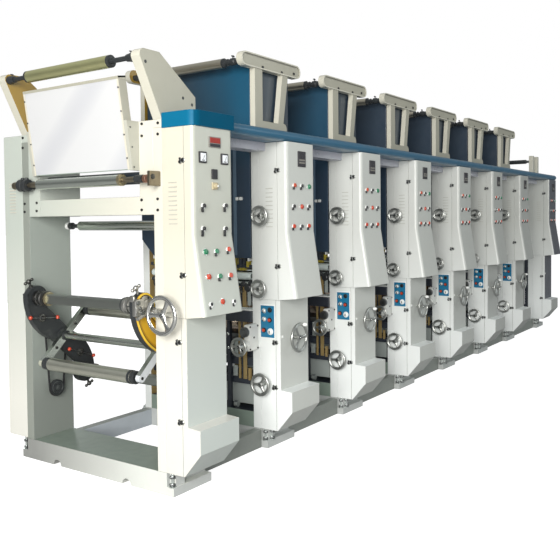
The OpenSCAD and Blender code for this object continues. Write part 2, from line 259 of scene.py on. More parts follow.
@dataclass(frozen=True)
class Paint(Finish):
    """Sprayed machine paint with a faint orange peel, cloudy tint and worn edges; painted shade darkens it towards the
    drive side and far along the line, a low colour near the floor adds painted light on pale paints and painted shade
    on dark ones, and it darkens in patches low down.
    """

    rough: float = 0.36
    mottle: float = 0.035
    worn: Colour = (0.34, 0.33, 0.3)
    wear: float = 0.5
    coat: float = 0.15
    # drive: colour reached at the drive side, a painted shade
    drive: Optional[Colour] = None
    turn: tuple[float, float] = (-0.6, 0.65)
    peel: float = 0.03
    shine: float = 0.5
    # low: colour towards the floor below the sink heights, painted light where lighter and painted shade where darker
    low: Optional[Colour] = None
    sink: tuple[float, float] = (0.2, 1.7)
    # far: colour reached far along the line, a painted shade where the light falls off
    far: Optional[Colour] = None
    along: tuple[float, float] = (3.8, 5.8)

    def make(self) -> bpy.types.Material:
        """Makes the paint.

        Returns:
            The paint as a material.
        """
        w = Wiring(self.name)
        line, across, height = w.node("ShaderNodeSeparateXYZ", {0: w.coord}).outputs
        base = w.blend(w.noise(1.7, 4.0), *self.shades(self.mottle))
        # Painted shade: the colour darkens across the line towards the drive side
        if self.drive:
            base = w.blend(w.span(across, *self.turn, 0.0, 1.0), base, self.drive)
        base = w.blend(w.patches(26.0, 6.0, 0.52, 0.8, 0.0, 0.07), base, self.faded(0.72))
        # Painted shade: the colour darkens far along the line, where the light falls off
        if self.far:
            base = w.blend(w.span(line, *self.along, 0.0, 1.0), base, self.far)
        # Painted light and shade by height: towards the floor the colour turns to the low colour, lighter on the cream
        # and white paints, darker on the inner green and the hood
        if self.low:
            base = w.blend(w.span(height, *self.sink, 1.0, 0.0), base, self.low)
        # Darker in patches towards the floor, over the lowest 0.35 m
        low_darkening = w.times(w.span(height, 0.0, 0.35, 0.16, 0.0), w.patches(9.0, 6.0, 0.42, 0.7, 0.0, 1.0))
        base = w.blend(low_darkening, base, self.faded(0.6))
        if self.wear:
            chips = w.times(w.edges(0.003), w.patches(55.0, 6.0, 0.5, 0.62, 0.0, self.wear))
            base = w.blend(chips, base, self.worn)
        w.put(Base_Color=base, Specular_IOR_Level=self.shine, Coat_Weight=self.coat, Coat_Roughness=0.18)
        w.rough(14.0, 4.0, self.rough - 0.05, self.rough + 0.07)
        w.bump(w.noise(480.0, 2.0), self.peel, 0.0002)
        return w.material


@dataclass(frozen=True)
class Metal(Finish):
    """Bare metal, turned, brushed or plated."""

    rough: float = 0.25
    grain: tuple[float, float, float] = (2.0, 190.0, 2.0)
    streak: float = 0.035
    metallic: float = 1.0
    stain: float = 0.1

    def make(self) -> bpy.types.Material:
        """Makes the metal.

        Returns:
            The metal as a material.
        """
        w = Wiring(self.name)
        rings = w.noise(1.0, 3.0, self.grain)
        stain = w.patches(7.0, 5.0, 0.45, 0.75, 0.0, self.stain)
        base = w.blend(stain, w.blend(rings, *self.shades(self.streak)), self.faded(0.66))
        w.put(Base_Color=base, Metallic=self.metallic)
        w.rough(22.0, 4.0, self.rough - 0.03, self.rough + 0.05)
        w.bump(rings, 0.004, 0.0001)
        return w.material


@dataclass(frozen=True)
class Rubber(Finish):
    """Smooth rubber or leather belt with a dull sheen."""

    rough: float = 0.55

    def make(self) -> bpy.types.Material:
        """Makes the rubber.

        Returns:
            The rubber as a material.
        """
        w = Wiring(self.name)
        w.put(Base_Color=w.blend(w.noise(18.0, 5.0), *self.shades(0.25)))
        w.rough(60.0, 4.0, self.rough - 0.08, self.rough + 0.1)
        w.bump(w.noise(600.0, 2.0), 0.05, 0.0002)
        return w.material


@dataclass(frozen=True)
class Plastic(Finish):
    """Moulded plastic of knobs, lamps and dials."""

    rough: float = 0.3
    coat: float = 0.3

    def make(self) -> bpy.types.Material:
        """Makes the plastic.

        Returns:
            The plastic as a material.
        """
        w = Wiring(self.name)
        w.put(Base_Color=w.blend(w.noise(40.0, 3.0), *self.shades(0.06)), Coat_Weight=self.coat)
        w.rough(90.0, 3.0, self.rough - 0.05, self.rough + 0.08)
        w.bump(w.noise(900.0, 2.0), 0.03, 0.0001)
        return w.material


@dataclass(frozen=True)
class GlossBoard(Finish):
    """White glossy sheet with broad soft bands of painted reflection across it."""

    # band: colour of the painted reflection bands
    band: Colour = (0.48, 0.49, 0.525)

    def make(self) -> bpy.types.Material:
        """Makes the board's sheet.

        Returns:
            The sheet as a material.
        """
        w = Wiring(self.name)
        turned = w.node(
            "ShaderNodeMapping", {"Vector": w.coord, "Rotation": (0.75, 0.0, 0.0), "Scale": (0.0, 1.0, 1.0)}
        ).outputs[0]
        waves = w.node(
            "ShaderNodeTexWave",
            {
                "Vector": turned, "Scale": 0.62, "Distortion": 1.4, "Detail": 2.0, "Detail Scale": 1.2,
                "Phase Offset": 1.2,
            },
            bands_direction="Z",
        ).outputs[1]
        # Painted reflection: soft grey bands blended across the white
        w.put(Base_Color=w.blend(w.span(waves, 0.55, 1.0, 0.0, 0.62), self.colour, self.band), Coat_Weight=0.6)
        w.rough(30.0, 3.0, 0.1, 0.18)
        w.bump(w.noise(5.0, 2.0), 0.05, 0.0006)
        return w.material


# Cream of the stand: painted shade towards the drive side, painted light near the floor
CREAM = Paint(
    "cream_paint", "cream", (0.64, 0.62, 0.535), drive=(0.46, 0.5, 0.455), low=(0.7, 0.695, 0.64), sink=(0.4, 1.6)
)
# Door cream, with painted light near the floor
CREAM_DOOR = Paint("cream_door_paint", "cream", (0.6, 0.57, 0.475), low=(0.68, 0.675, 0.63), sink=(0.6, 1.6))
# Shaded copy of the door cream for faces to the operator, a painted shade, with painted light near the floor
CREAM_FRONT_SHADE = Paint("cream_front_paint", "cream", (0.46, 0.475, 0.42), low=(0.52, 0.565, 0.54), sink=(0.6, 1.6))
# Cream darkened as painted shade, for the board's cheek plates and the fronts of its frame
CHEEK_SHADE = Paint("cheek_paint", "cream", (0.45, 0.45, 0.39))
# Base cream, with strong painted shade towards the drive side
CREAM_BASE = Paint(
    "cream_base_paint", "cream", (0.66, 0.68, 0.64), drive=(0.24, 0.245, 0.235), turn=(-0.5, 0.6), wear=0.3
)
# Grey-green of the inner faces, with painted shade towards the floor
STAND_INNER = Paint(
    "grey_green_inner_paint", "base_green", (0.32, 0.355, 0.325), rough=0.42, low=(0.215, 0.235, 0.215), sink=(0.4, 0.9)
)
STAND_EDGE = Paint("grey_green_edge_paint", "base_green", (0.25, 0.27, 0.24), rough=0.42)
# Cool white of the units, with painted light near the floor and painted shade far along the line
WHITE = Paint(
    "cool_white_paint", "cool_grey", (0.59, 0.605, 0.58),
    low=(0.8, 0.83, 0.82), sink=(0.4, 1.6), far=(0.5, 0.515, 0.485),
)
# Shaded copy of the cool white for faces to the operator, a painted shade, darker still far along the line
WHITE_FRONT_SHADE = Paint("cool_front_paint", "cool_grey", (0.545, 0.565, 0.535), far=(0.4, 0.41, 0.39), along=(2.8, 6.0))
FOOT = Paint("grey_foot_paint", "base_green", (0.5, 0.52, 0.51), rough=0.42)
RAIL_GREY = Paint("grey_beam_paint", "base_green", (0.25, 0.27, 0.25), rough=0.45)
DECK = Paint("deck_paint", "base_green", (0.21, 0.265, 0.225), rough=0.42)
WALL_OCHRE = Paint("ochre_wall_paint", "", (0.3, 0.215, 0.085), rough=0.42, mottle=0.2)
FAN_OCHRE = Paint("ochre_fan_paint", "", (0.3, 0.19, 0.03), rough=0.4, mottle=0.12)
ARM_OCHRE = Paint("ochre_arm_paint", "", (0.58, 0.335, 0.02), rough=0.38, wear=0.2)
# Brown bands inside the arm's rim: painted shade of the rim on the ochre face
ARM_BROWN_SHADE = Paint("brown_arm_paint", "", (0.16, 0.085, 0.014), rough=0.42, wear=0.2)
ARM_DUSK_SHADE = Paint("dusky_arm_paint", "", (0.42, 0.22, 0.012), rough=0.4, wear=0.2)
# Yellow of the arm's rim, brightened as a painted highlight
RIM_YELLOW_HIGHLIGHT = Paint("yellow_rim_paint", "", (0.74, 0.52, 0.055), wear=0.2)
BASE_GREEN = Paint("grey_green_base_paint", "base_green", (0.22, 0.27, 0.23), rough=0.42)
RAIL_INNER = Paint("blue_grey_paint", "trough_grey", (0.42, 0.46, 0.5))
BEIGE = Paint("beige_paint", "bracket_beige", (0.57, 0.555, 0.47), rough=0.38)
# Shaded copy of the beige for faces to the operator, a painted shade
BEIGE_FRONT_SHADE = Paint("beige_front_paint", "bracket_beige", (0.38, 0.37, 0.3), rough=0.38)
BEIGE_SHADE = Paint("beige_shade_paint", "bracket_beige", (0.19, 0.18, 0.145), wear=0.0)
BLUE = Paint(
    "rail_blue_paint", "rail_blue", (0.016, 0.105, 0.19), rough=0.34, coat=0.2, wear=0.0,
    peel=0.0, mottle=0.05,
)
CAP_BLUE = Paint(
    "cap_blue_paint", "rail_blue", (0.003, 0.125, 0.235), rough=0.42, shine=0.12, coat=0.0, wear=0.0, peel=0.0
)
# Shaded copy of the cap blue for faces to the operator, a painted shade
CAP_FRONT_SHADE = Paint(
    "cap_front_paint", "rail_blue", (0.001, 0.07, 0.135), rough=0.5, shine=0.05, coat=0.0, wear=0.0, peel=0.0
)
# Hood blue, with painted shade towards the drive side, below the rail and far along the line
HOOD = Paint(
    "hood_blue_paint", "hood_blue", (0.008, 0.075, 0.14), rough=0.34, drive=(0.024, 0.044, 0.066), coat=0.05,
    worn=(0.1, 0.14, 0.18), wear=0.2, turn=(-0.4, 0.1), peel=0.0, low=(0.026, 0.046, 0.075), sink=(2.0, 2.35),
    far=(0.03, 0.046, 0.068), along=(1.2, 3.0),
)
# Lighter blue of the hood's ribs: painted highlight streaks
HOOD_LIGHT_STREAK = Paint("hood_streak_paint", "hood_blue", (0.11, 0.17, 0.24), wear=0.0, peel=0.0)
# Shaded copy of the hood blue, a painted shade
HOOD_SHADE = Paint("hood_navy_paint", "hood_blue", (0.03, 0.048, 0.07), rough=0.34, wear=0.2, peel=0.0)
TROUGH = Paint("trough_paint", "trough_grey", (0.46, 0.47, 0.53), rough=0.3)
BLACK = Paint(
    "satin_black_paint", "turret_black", (0.022, 0.025, 0.027), rough=0.4, worn=(0.12, 0.12, 0.12), wear=0.3
)
NAVY = Paint("navy_frame_paint", "tray_dark", (0.024, 0.03, 0.042), rough=0.42, worn=(0.2, 0.2, 0.2), wear=0.4)
DARK_PANEL = Paint("dark_panel_paint", "tray_dark", (0.085, 0.092, 0.11), rough=0.4, wear=0.3)
TANK = Paint("tank_grey_paint", "tank_grey", (0.34, 0.375, 0.36), rough=0.42)
ARM_LIGHT = Paint("light_arm_paint", "roller_grey", (0.62, 0.65, 0.68))
# Beige for the lit faces of the short arms: painted light
ARM_BEIGE_LIT = Paint("beige_arm_paint", "roller_grey", (0.4, 0.41, 0.33))
ARM_GREY = Paint("grey_arm_paint", "roller_grey", (0.13, 0.14, 0.145))
GEARBOX = Paint("gearbox_paint", "roller_silver", (0.7, 0.71, 0.68), mottle=0.06)
PLATE_BLUE = Paint("control_plate_blue", "rail_blue", (0.012, 0.155, 0.29), rough=0.33, wear=0.0)
SILVER = Metal("turned_silver", "roller_silver", (0.64, 0.68, 0.62), rough=0.21)
SHAFT_GREY = Metal("milled_grey", "roller_grey", (0.36, 0.38, 0.35), rough=0.34)
CREAM_ROLLER = Metal("anodised_roller", "roller_cream", (0.82, 0.81, 0.43), rough=0.35)
ROLLER_A = Metal("pale_roller", "roller_silver", (0.7, 0.7, 0.6), rough=0.34)
TAUPE_ROLLER = Metal("taupe_roller", "roller_cream", (0.58, 0.54, 0.44), rough=0.34)
CHROME = Metal("polished_chrome", "chrome", (0.9, 0.96, 0.93), rough=0.16, grain=(9.0, 60.0, 9.0), streak=0.03)
# Pale half-diffuse finish standing in for the chrome roller's bright reflection, a painted reflection
BRIGHT_ROLLER = Metal("bright_roller", "chrome", (0.86, 0.95, 0.92), rough=0.34, metallic=0.45)
WHEEL_CHROME = Metal("wheel_chrome", "chrome", (0.62, 0.62, 0.6), rough=0.18, grain=(14.0, 14.0, 14.0))
NICKEL = Metal(
    "nickel_casting", "chrome", (0.5, 0.495, 0.47), rough=0.34, grain=(24.0, 24.0, 24.0), streak=0.2, stain=0.3
)
STEEL = Metal("dark_steel", "roller_grey", (0.2, 0.21, 0.21), rough=0.34, grain=(30.0, 30.0, 30.0))
DARK_WHEEL = Metal(
    "dark_wheel_steel", "roller_grey", (0.46, 0.47, 0.45), rough=0.34, grain=(20.0, 20.0, 20.0), stain=0.3
)
CASTING = Metal("grey_casting", "roller_grey", (0.11, 0.11, 0.105), rough=0.42, grain=(30.0, 30.0, 30.0), streak=0.3)
BRONZE = Metal("dull_bronze", "bronze", (0.27, 0.235, 0.175), rough=0.38, grain=(24.0, 24.0, 24.0), streak=0.2)
TAN_METAL = Metal("tan_bronze", "bronze", (0.46, 0.4, 0.26), rough=0.36, grain=(24.0, 24.0, 24.0), streak=0.2)
COPPER = Metal("copper_ring", "bronze", (0.44, 0.24, 0.17), rough=0.36, grain=(24.0, 24.0, 24.0), stain=0.3)
ENGRAVED = Metal("engraved_copper", "chrome", (0.62, 0.5, 0.42), rough=0.21, grain=(3.0, 420.0, 3.0), streak=0.1)
BOLT = Metal("black_screws", "turret_black", (0.05, 0.05, 0.05), rough=0.35, grain=(60.0, 60.0, 60.0), metallic=0.8)
RUBBER = Rubber("roller_rubber", "rubber_dark", (0.022, 0.032, 0.045), rough=0.38)
BELT = Rubber("belt_rubber", "belt_black", (0.014, 0.014, 0.016), rough=0.6)
BOARD = GlossBoard("board_white", "board_white", (0.605, 0.61, 0.62))
KNOB = Plastic("black_plastic", "turret_black", (0.012, 0.012, 0.014))
SLOT_GREY = Plastic("slot_shadow", "trough_grey", (0.42, 0.42, 0.38))
RED = Plastic("red_plastic", "", (0.5, 0.052, 0.02))
ORANGE = Plastic("orange_plastic", "", (0.52, 0.085, 0.04))
GREEN = Plastic("green_plastic", "", (0.012, 0.17, 0.075))
YELLOW = Plastic("yellow_plastic", "", (0.34, 0.27, 0.03))
PALE = Plastic("white_plastic", "board_white", (0.8, 0.82, 0.8))
DIAL = Plastic("dial_white", "board_white", (0.76, 0.79, 0.82), rough=0.2)
TAN = Plastic("tan_plastic", "bracket_beige", (0.42, 0.36, 0.23))
SCREEN = Plastic("dark_screen", "turret_black", (0.026, 0.025, 0.03), rough=0.5, coat=0.0)
SCREEN_RED = Plastic("red_screen", "", (0.3, 0.02, 0.012), rough=0.5, coat=0.0)
SCREEN_GREY = Plastic("grey_keys", "trough_grey", (0.2, 0.19, 0.17))


@lru_cache(maxsize=None)
def material_of(finish: Finish) -> bpy.types.Material:
    """Returns a finish's one material, made on first use."""
    return finish.make()


# ---------------------------------------------------------------- making shapes

Rule = Callable[[Vector, Vector], Optional[Finish]]
Pick = Callable[[Vector, Vector], bool]


def round_edges(part: bmesh.types.BMesh, size: float, segments: int = 2, pick: Optional[Pick] = None) -> None:
    """Rounds the sharp edges of a shape.

    Args:
        part: The shape.
        size: Width of the rounding; none at 0.
        segments: Steps of the rounding.
        pick: Says by its two ends which edge to round; all where left out.
    """
    if size <= 0:
        return
    part.normal_update()
    sharp = [e for e in part.edges if len(e.link_faces) == 2 and e.calc_face_angle(0.0) > BEVEL_ANGLE]
    found = [e for e in sharp if pick is None or pick(e.verts[0].co, e.verts[1].co)]
    if found:
        bmesh.ops.bevel(
            part, geom=found, offset=size, offset_type="OFFSET", segments=segments, profile=0.5,
            affect="EDGES", clamp_overlap=True,
        )


def circle(radius: float, count: int) -> list[tuple[float, float]]:
    """Returns points round a circle."""
    angles = (2 * math.pi * i / count for i in range(count))
    return [(radius * math.cos(a), radius * math.sin(a)) for a in angles]


def facing(axis: Point) -> Matrix:
    """Turns the Z axis to another axis and keeps Y level.

    Args:
        axis: The other axis.

    Returns:
        The turn as a matrix.
    """
    z = Vector(axis).normalized()
    y = Vector((0, 1, 0)) if abs(z.y) < 0.8 else Vector((1, 0, 0))
    x = y.cross(z).normalized()
    y = z.cross(x)
    return Matrix((x, y, z)).transposed().to_4x4()


def inset(outline: Sequence[Point], depth: float) -> list[tuple[float, float]]:
    """Moves an outline inward, point by point.

    Args:
        outline: Points in order; either way round.
        depth: How far inward.

    Returns:
        The new outline, with as many points.
    """
    spots = [Vector(p) for p in outline]
    count = len(spots)
    area = sum(a.x * b.y - b.x * a.y for a, b in zip(spots, spots[1:] + spots[:1]))
    turn = 1.0 if area > 0 else -1.0
    moved = []
    for i, spot in enumerate(spots):
        before, after = (spot - spots[i - 1]).normalized(), (spots[(i + 1) % count] - spot).normalized()
        a, b = Vector((-before.y, before.x)) * turn, Vector((-after.y, after.x)) * turn
        way = (a + b) / max(0.4, 1.0 + a.dot(b))
        moved.append(tuple(spot + way * depth))
    return moved


def cad_form(node: str) -> bmesh.types.BMesh:
    """Copies a CAD node, with its flats in one face each.

    Args:
        node: The CAD node.

    Returns:
        The copy.
    """
    part = bmesh.new()
    part.from_mesh(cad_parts[node].data)
    bmesh.ops.remove_doubles(part, verts=part.verts, dist=WELD)
    bmesh.ops.dissolve_limit(part, angle_limit=FLAT_ANGLE, verts=part.verts, edges=part.edges)
    return part


def face_outline(node: str, level: float) -> list[tuple[float, float]]:
    """Finds the outline of a CAD node's largest flat at a level of Y.

    Args:
        node: The CAD node.
        level: Where the flat lies across the line.

    Returns:
        The outline in X and Z.
    """
    part = cad_form(node)
    flats = [f for f in part.faces if abs(f.normal.y) > 0.99 and abs(f.calc_center_median().y - level) < 1e-4]
    best = max(flats, key=lambda f: f.calc_area())
    outline = [(loop.vert.co.x, loop.vert.co.z) for loop in best.loops]
    part.free()
    return outline


def new_object(name: str, data: bpy.types.ID) -> bpy.types.Object:
    """Adds an object to the scene.

    Args:
        name: Its name.
        data: What it shows.

    Returns:
        The new object.
    """
    made = bpy.data.objects.new(name, data)
    bpy.context.scene.collection.objects.link(made)
    return made


def settle(piece: bpy.types.Object) -> None:
    """Turns an object's modifiers into its plain mesh.

    Args:
        piece: The object.
    """
    graph = bpy.context.evaluated_depsgraph_get()
    solid = piece.evaluated_get(graph)
    made = bpy.data.meshes.new_from_object(solid, preserve_all_data_layers=True, depsgraph=graph)
    old = piece.data
    piece.modifiers.clear()
    piece.data = made
    bpy.data.meshes.remove(old)
    made.name = piece.name


class Shape:
    """One piece while it is built; every form that is added to it has its own finish."""

    def __init__(self, name: str) -> None:
        """Starts an empty piece.

        Args:
            name: The piece's name.
        """
        self.name = name
        self.mesh = bmesh.new()
        self.finishes: list[Finish] = []
        self.origin = Matrix.Identity(4)

    def at(self, *place: float) -> "Shape":
        """Moves the place where the next forms go."""
        self.origin = Matrix.Translation(place)
        return self

    def each(self, middles: Iterable[float], shift: float = 0.0) -> Iterator["Shape"]:
        """Moves that place along the line to each middle in turn."""
        for x in middles:
            yield self.at(x + shift, 0, 0)

    def add(self, part: bmesh.types.BMesh, finish: Finish, rule: Optional[Rule] = None) -> None:
        """Joins a form to the piece.

        Args:
            part: The form, which is used up.
            finish: Its finish.
            rule: Gives another finish for a face by its middle and normal.
        """
        part.transform(self.origin)
        bmesh.ops.recalc_face_normals(part, faces=part.faces)
        for face in part.faces:
            chosen = (rule(face.calc_center_median(), face.normal) if rule else None) or finish
            if chosen not in self.finishes:
                self.finishes.append(chosen)
            face.material_index = self.finishes.index(chosen)
            face.smooth = True
        holder = bpy.data.meshes.new("holder")
        part.to_mesh(holder)
        part.free()
        self.mesh.from_mesh(holder)
        bpy.data.meshes.remove(holder)

    def node(self, name: str, finish: Finish, rule: Optional[Rule] = None, edge: float = 0.003) -> "Shape":
        """Adds a copy of a CAD node with rounded edges.

        Args:
            name: The CAD node.
            finish: Its finish.
            rule: Other finishes by face.
            edge: Width of the rounding along its sharp edges.

        Returns:
            The piece itself.
        """
        part = cad_form(name)
        round_edges(part, edge)
        self.add(part, finish, rule)
        return self

    def block(
        self, low: Point, high: Point, finish: Finish, edge: float = 0.002, rule: Optional[Rule] = None
    ) -> None:
        """Adds a box with rounded edges between two corners.

        Args:
            low: The lowest corner.
            high: The opposite corner.
            finish: Its finish.
            edge: Width of the rounding.
            rule: Other finishes by face.
        """
        a, b = Vector(low), Vector(high)
        part = bmesh.new()
        place = Matrix.Translation((a + b) / 2) @ Matrix.Diagonal((*(b - a), 1.0))
        bmesh.ops.create_cube(part, size=1.0, matrix=place)
        round_edges(part, edge)
        self.add(part, finish, rule)

    def strips(self, s: int, x0: float, x1: float, rows: Iterable[tuple], edge: float) -> None:
        """Adds upright strips, whose rows say place, width, foot, top and finish, on one side of the line.

        Args:
            s: The side, -1 or 1.
            x0: Their near faces.
            x1: Their far faces.
            rows: The strips.
            edge: Width of their rounding.
        """
        for y, wide, low, high, finish in rows:
            self.block((x0, s * y - wide / 2, low), (x1, s * y + wide / 2, high), finish, edge)

    def prism(
        self, outline: Iterable[Point], axis: str, low: float, high: float, finish: Finish, edge: float = 0.002,
        rule: Optional[Rule] = None, pick: Optional[Pick] = None, soft: float = 0.0,
    ) -> None:
        """Adds an outline drawn out along an axis.

        Args:
            outline: Points in the other two axes, in their order.
            axis: The axis, x or y.
            low: Where it starts.
            high: Where it ends.
            finish: Its finish.
            edge: Width of the rounding along its sharp edges.
            rule: Other finishes by face.
            pick: Chooses edges for the large rounding.
            soft: Size of the large rounding.
        """
        part = bmesh.new()
        caps = []
        for w in (low, high):
            caps.append([part.verts.new([(u, v, w)[i] for i in ORDER[axis]]) for u, v in outline])
            part.faces.new(caps[-1])
        count = len(caps[0])
        for i in range(count):
            j = (i + 1) % count
            part.faces.new((caps[0][i], caps[0][j], caps[1][j], caps[1][i]))
        bmesh.ops.recalc_face_normals(part, faces=part.faces)
        if pick:
            round_edges(part, soft, 6, pick)
        round_edges(part, edge)
        self.add(part, finish, rule)

    def band(
        self, outer: Sequence[Point], inner: Sequence[Point], axis: str, low: float, high: float, finish: Finish
    ) -> None:
        """Adds a raised rim between two outlines of as many points.

        Args:
            outer: Outer outline in the other two axes.
            inner: Inner outline, point by point.
            axis: The axis that the rim stands along.
            low: Where it starts.
            high: Where it ends.
            finish: Its finish.
        """
        sections = [
            [Vector([(u, v, w)[i] for i in ORDER[axis]]) for (u, v), w in ((a, low), (a, high), (b, high), (b, low))]
            for a, b in zip(outer, inner)
        ]
        self.skin(sections, finish, loop=True)

    def skin(self, sections: Sequence[Sequence[Vector]], finish: Finish, loop: bool = False) -> None:
        """Adds a closed skin over a row of sections with the same number of points.

        Args:
            sections: The sections; one of a single point closes to a tip.
            finish: Its finish.
            loop: The last section joins the first.
        """
        part = bmesh.new()
        rings = [[part.verts.new(p) for p in section] for section in sections]
        for low, high in list(zip(rings, rings[1:])) + ([(rings[-1], rings[0])] if loop else []):
            count = max(len(low), len(high))
            for i in range(count):
                j = (i + 1) % count
                if len(low) == 1:
                    part.faces.new((low[0], high[j], high[i]))
                elif len(high) == 1:
                    part.faces.new((low[i], low[j], high[0]))
                else:
                    part.faces.new((low[i], low[j], high[j], high[i]))
        if not loop:
            for ring in (rings[0], rings[-1]):
                if len(ring) > 2:
                    part.faces.new(ring)
        self.add(part, finish)

    def turned(
        self, start: Point, axis: Point, profile: Iterable[tuple[float, float]], finish: Finish, sides: int = 36
    ) -> None:
        """Adds a turned form.

        Args:
            start: Point on the axis where distances start.
            axis: Direction of the axis.
            profile: Distance along the axis and radius, point by point.
            finish: Its finish.
            sides: Flats round it.
        """
        place = Matrix.Translation(Vector(start)) @ facing(axis)
        sections = []
        for along, radius in profile:
            spots = circle(radius, sides) if radius > 1e-6 else [(0.0, 0.0)]
            sections.append([place @ Vector((u, v, along)) for u, v in spots])
        self.skin(sections, finish)

    def rod(self, a: Point, b: Point, radius: float, finish: Finish, sides: int = 28, edge: float = 0.0015) -> None:
        """Adds a round bar with broken edges from one point to another.

        Args:
            a: The first point.
            b: The other point.
            radius: Its radius.
            finish: Its finish.
            sides: Flats round it.
            edge: Size of the broken edges.
        """
        way = Vector(b) - Vector(a)
        length, e = way.length, min(edge, radius * 0.4)
        ends = [(0.0, radius - e), (0.3 * e, radius - 0.3 * e), (e, radius)]
        ends += [(length - d, r) for d, r in reversed(ends)]
        self.turned(a, way, ends, finish, sides)

    def ring(
        self, centre: Point, axis: Point, major: float, minor: float, finish: Finish, sides: int = 44, steps: int = 12
    ) -> None:
        """Adds a round ring.

        Args:
            centre: Its middle.
            axis: Its axis.
            major: Radius of the ring's centreline.
            minor: Radius of its section.
            finish: Its finish.
            sides: Steps round the ring.
            steps: Steps round the section.
        """
        place = Matrix.Translation(Vector(centre)) @ facing(axis)
        sections = [
            [place @ Vector(((major + r) * c, (major + r) * s, h)) for r, h in circle(minor, steps)]
            for c, s in circle(1.0, sides)
        ]
        self.skin(sections, finish, loop=True)

    def ball(self, centre: Point, radius: float, finish: Finish, sides: int = 20) -> None:
        """Adds a ball.

        Args:
            centre: Its middle.
            radius: Its radius.
            finish: Its finish.
            sides: Steps round it.
        """
        part = bmesh.new()
        bmesh.ops.create_uvsphere(
            part, u_segments=sides, v_segments=sides // 2, radius=radius, matrix=Matrix.Translation(Vector(centre))
        )
        self.add(part, finish)

    def fit(self, body: str = "frame", stands_for: Sequence[str] = ()) -> None:
        """Finishes the piece and joins it to the machine.

        Args:
            body: The CAD body that it moves with.
            stands_for: CAD nodes that it replaces.
        """
        self.mesh.normal_update()
        for edge in self.mesh.edges:
            if len(edge.link_faces) == 2 and edge.calc_face_angle(0.0) > CREASE_ANGLE:
                edge.smooth = False
        made = bpy.data.meshes.new(self.name)
        self.mesh.to_mesh(made)
        self.mesh.free()
        for finish in self.finishes:
            made.materials.append(material_of(finish))
        piece = new_object(self.name, made)
        piece.modifiers.new("flats", "WEIGHTED_NORMAL").keep_sharp = True
        settle(piece)
        join_machine(piece, body, self.finishes[0].slot, stands_for)


def join_machine(piece: bpy.types.Object, body: str, slot: str, stands_for: Sequence[str] = ()) -> None:
    """Makes a finished mesh a piece of the machine.

    Args:
        piece: The object.
        body: The CAD body that it moves with.
        slot: The material slot's name; not used.
        stands_for: CAD nodes that it replaces.
    """
    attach(piece, body)
    if stands_for:
        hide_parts(*stands_for)
    log.info("%s: %d faces on %s", piece.name, len(piece.data.polygons), body)


def dress(piece: str, node: str, finish: Finish, rule: Optional[Rule] = None, edge: float = 0.003) -> None:
    """Makes a piece of one CAD node, which it replaces."""
    Shape(piece).node(node, finish, rule, edge).fit(stands_for=[node])


def to_front(n: Vector) -> bool:
    """Says whether a face looks to the operator."""
    return n.y < -LEAN


def to_top(n: Vector) -> bool:
    """Says whether a face looks up."""
    return n.z > LEAN


def looks_to_operator(finish: Finish) -> Rule:
    """Returns a rule that gives faces towards the operator their own finish."""
    return lambda p, n: finish if to_front(n) else None


# ---------------------------------------------------------------- repeated small parts


class Form(Enum):
    """Small parts that a node tree repeats."""

    SCREW = "screw"
    LOUVRE = "louvre"
    # Dark discs standing for holes, painted shade inside them
    HOLE = "hole"


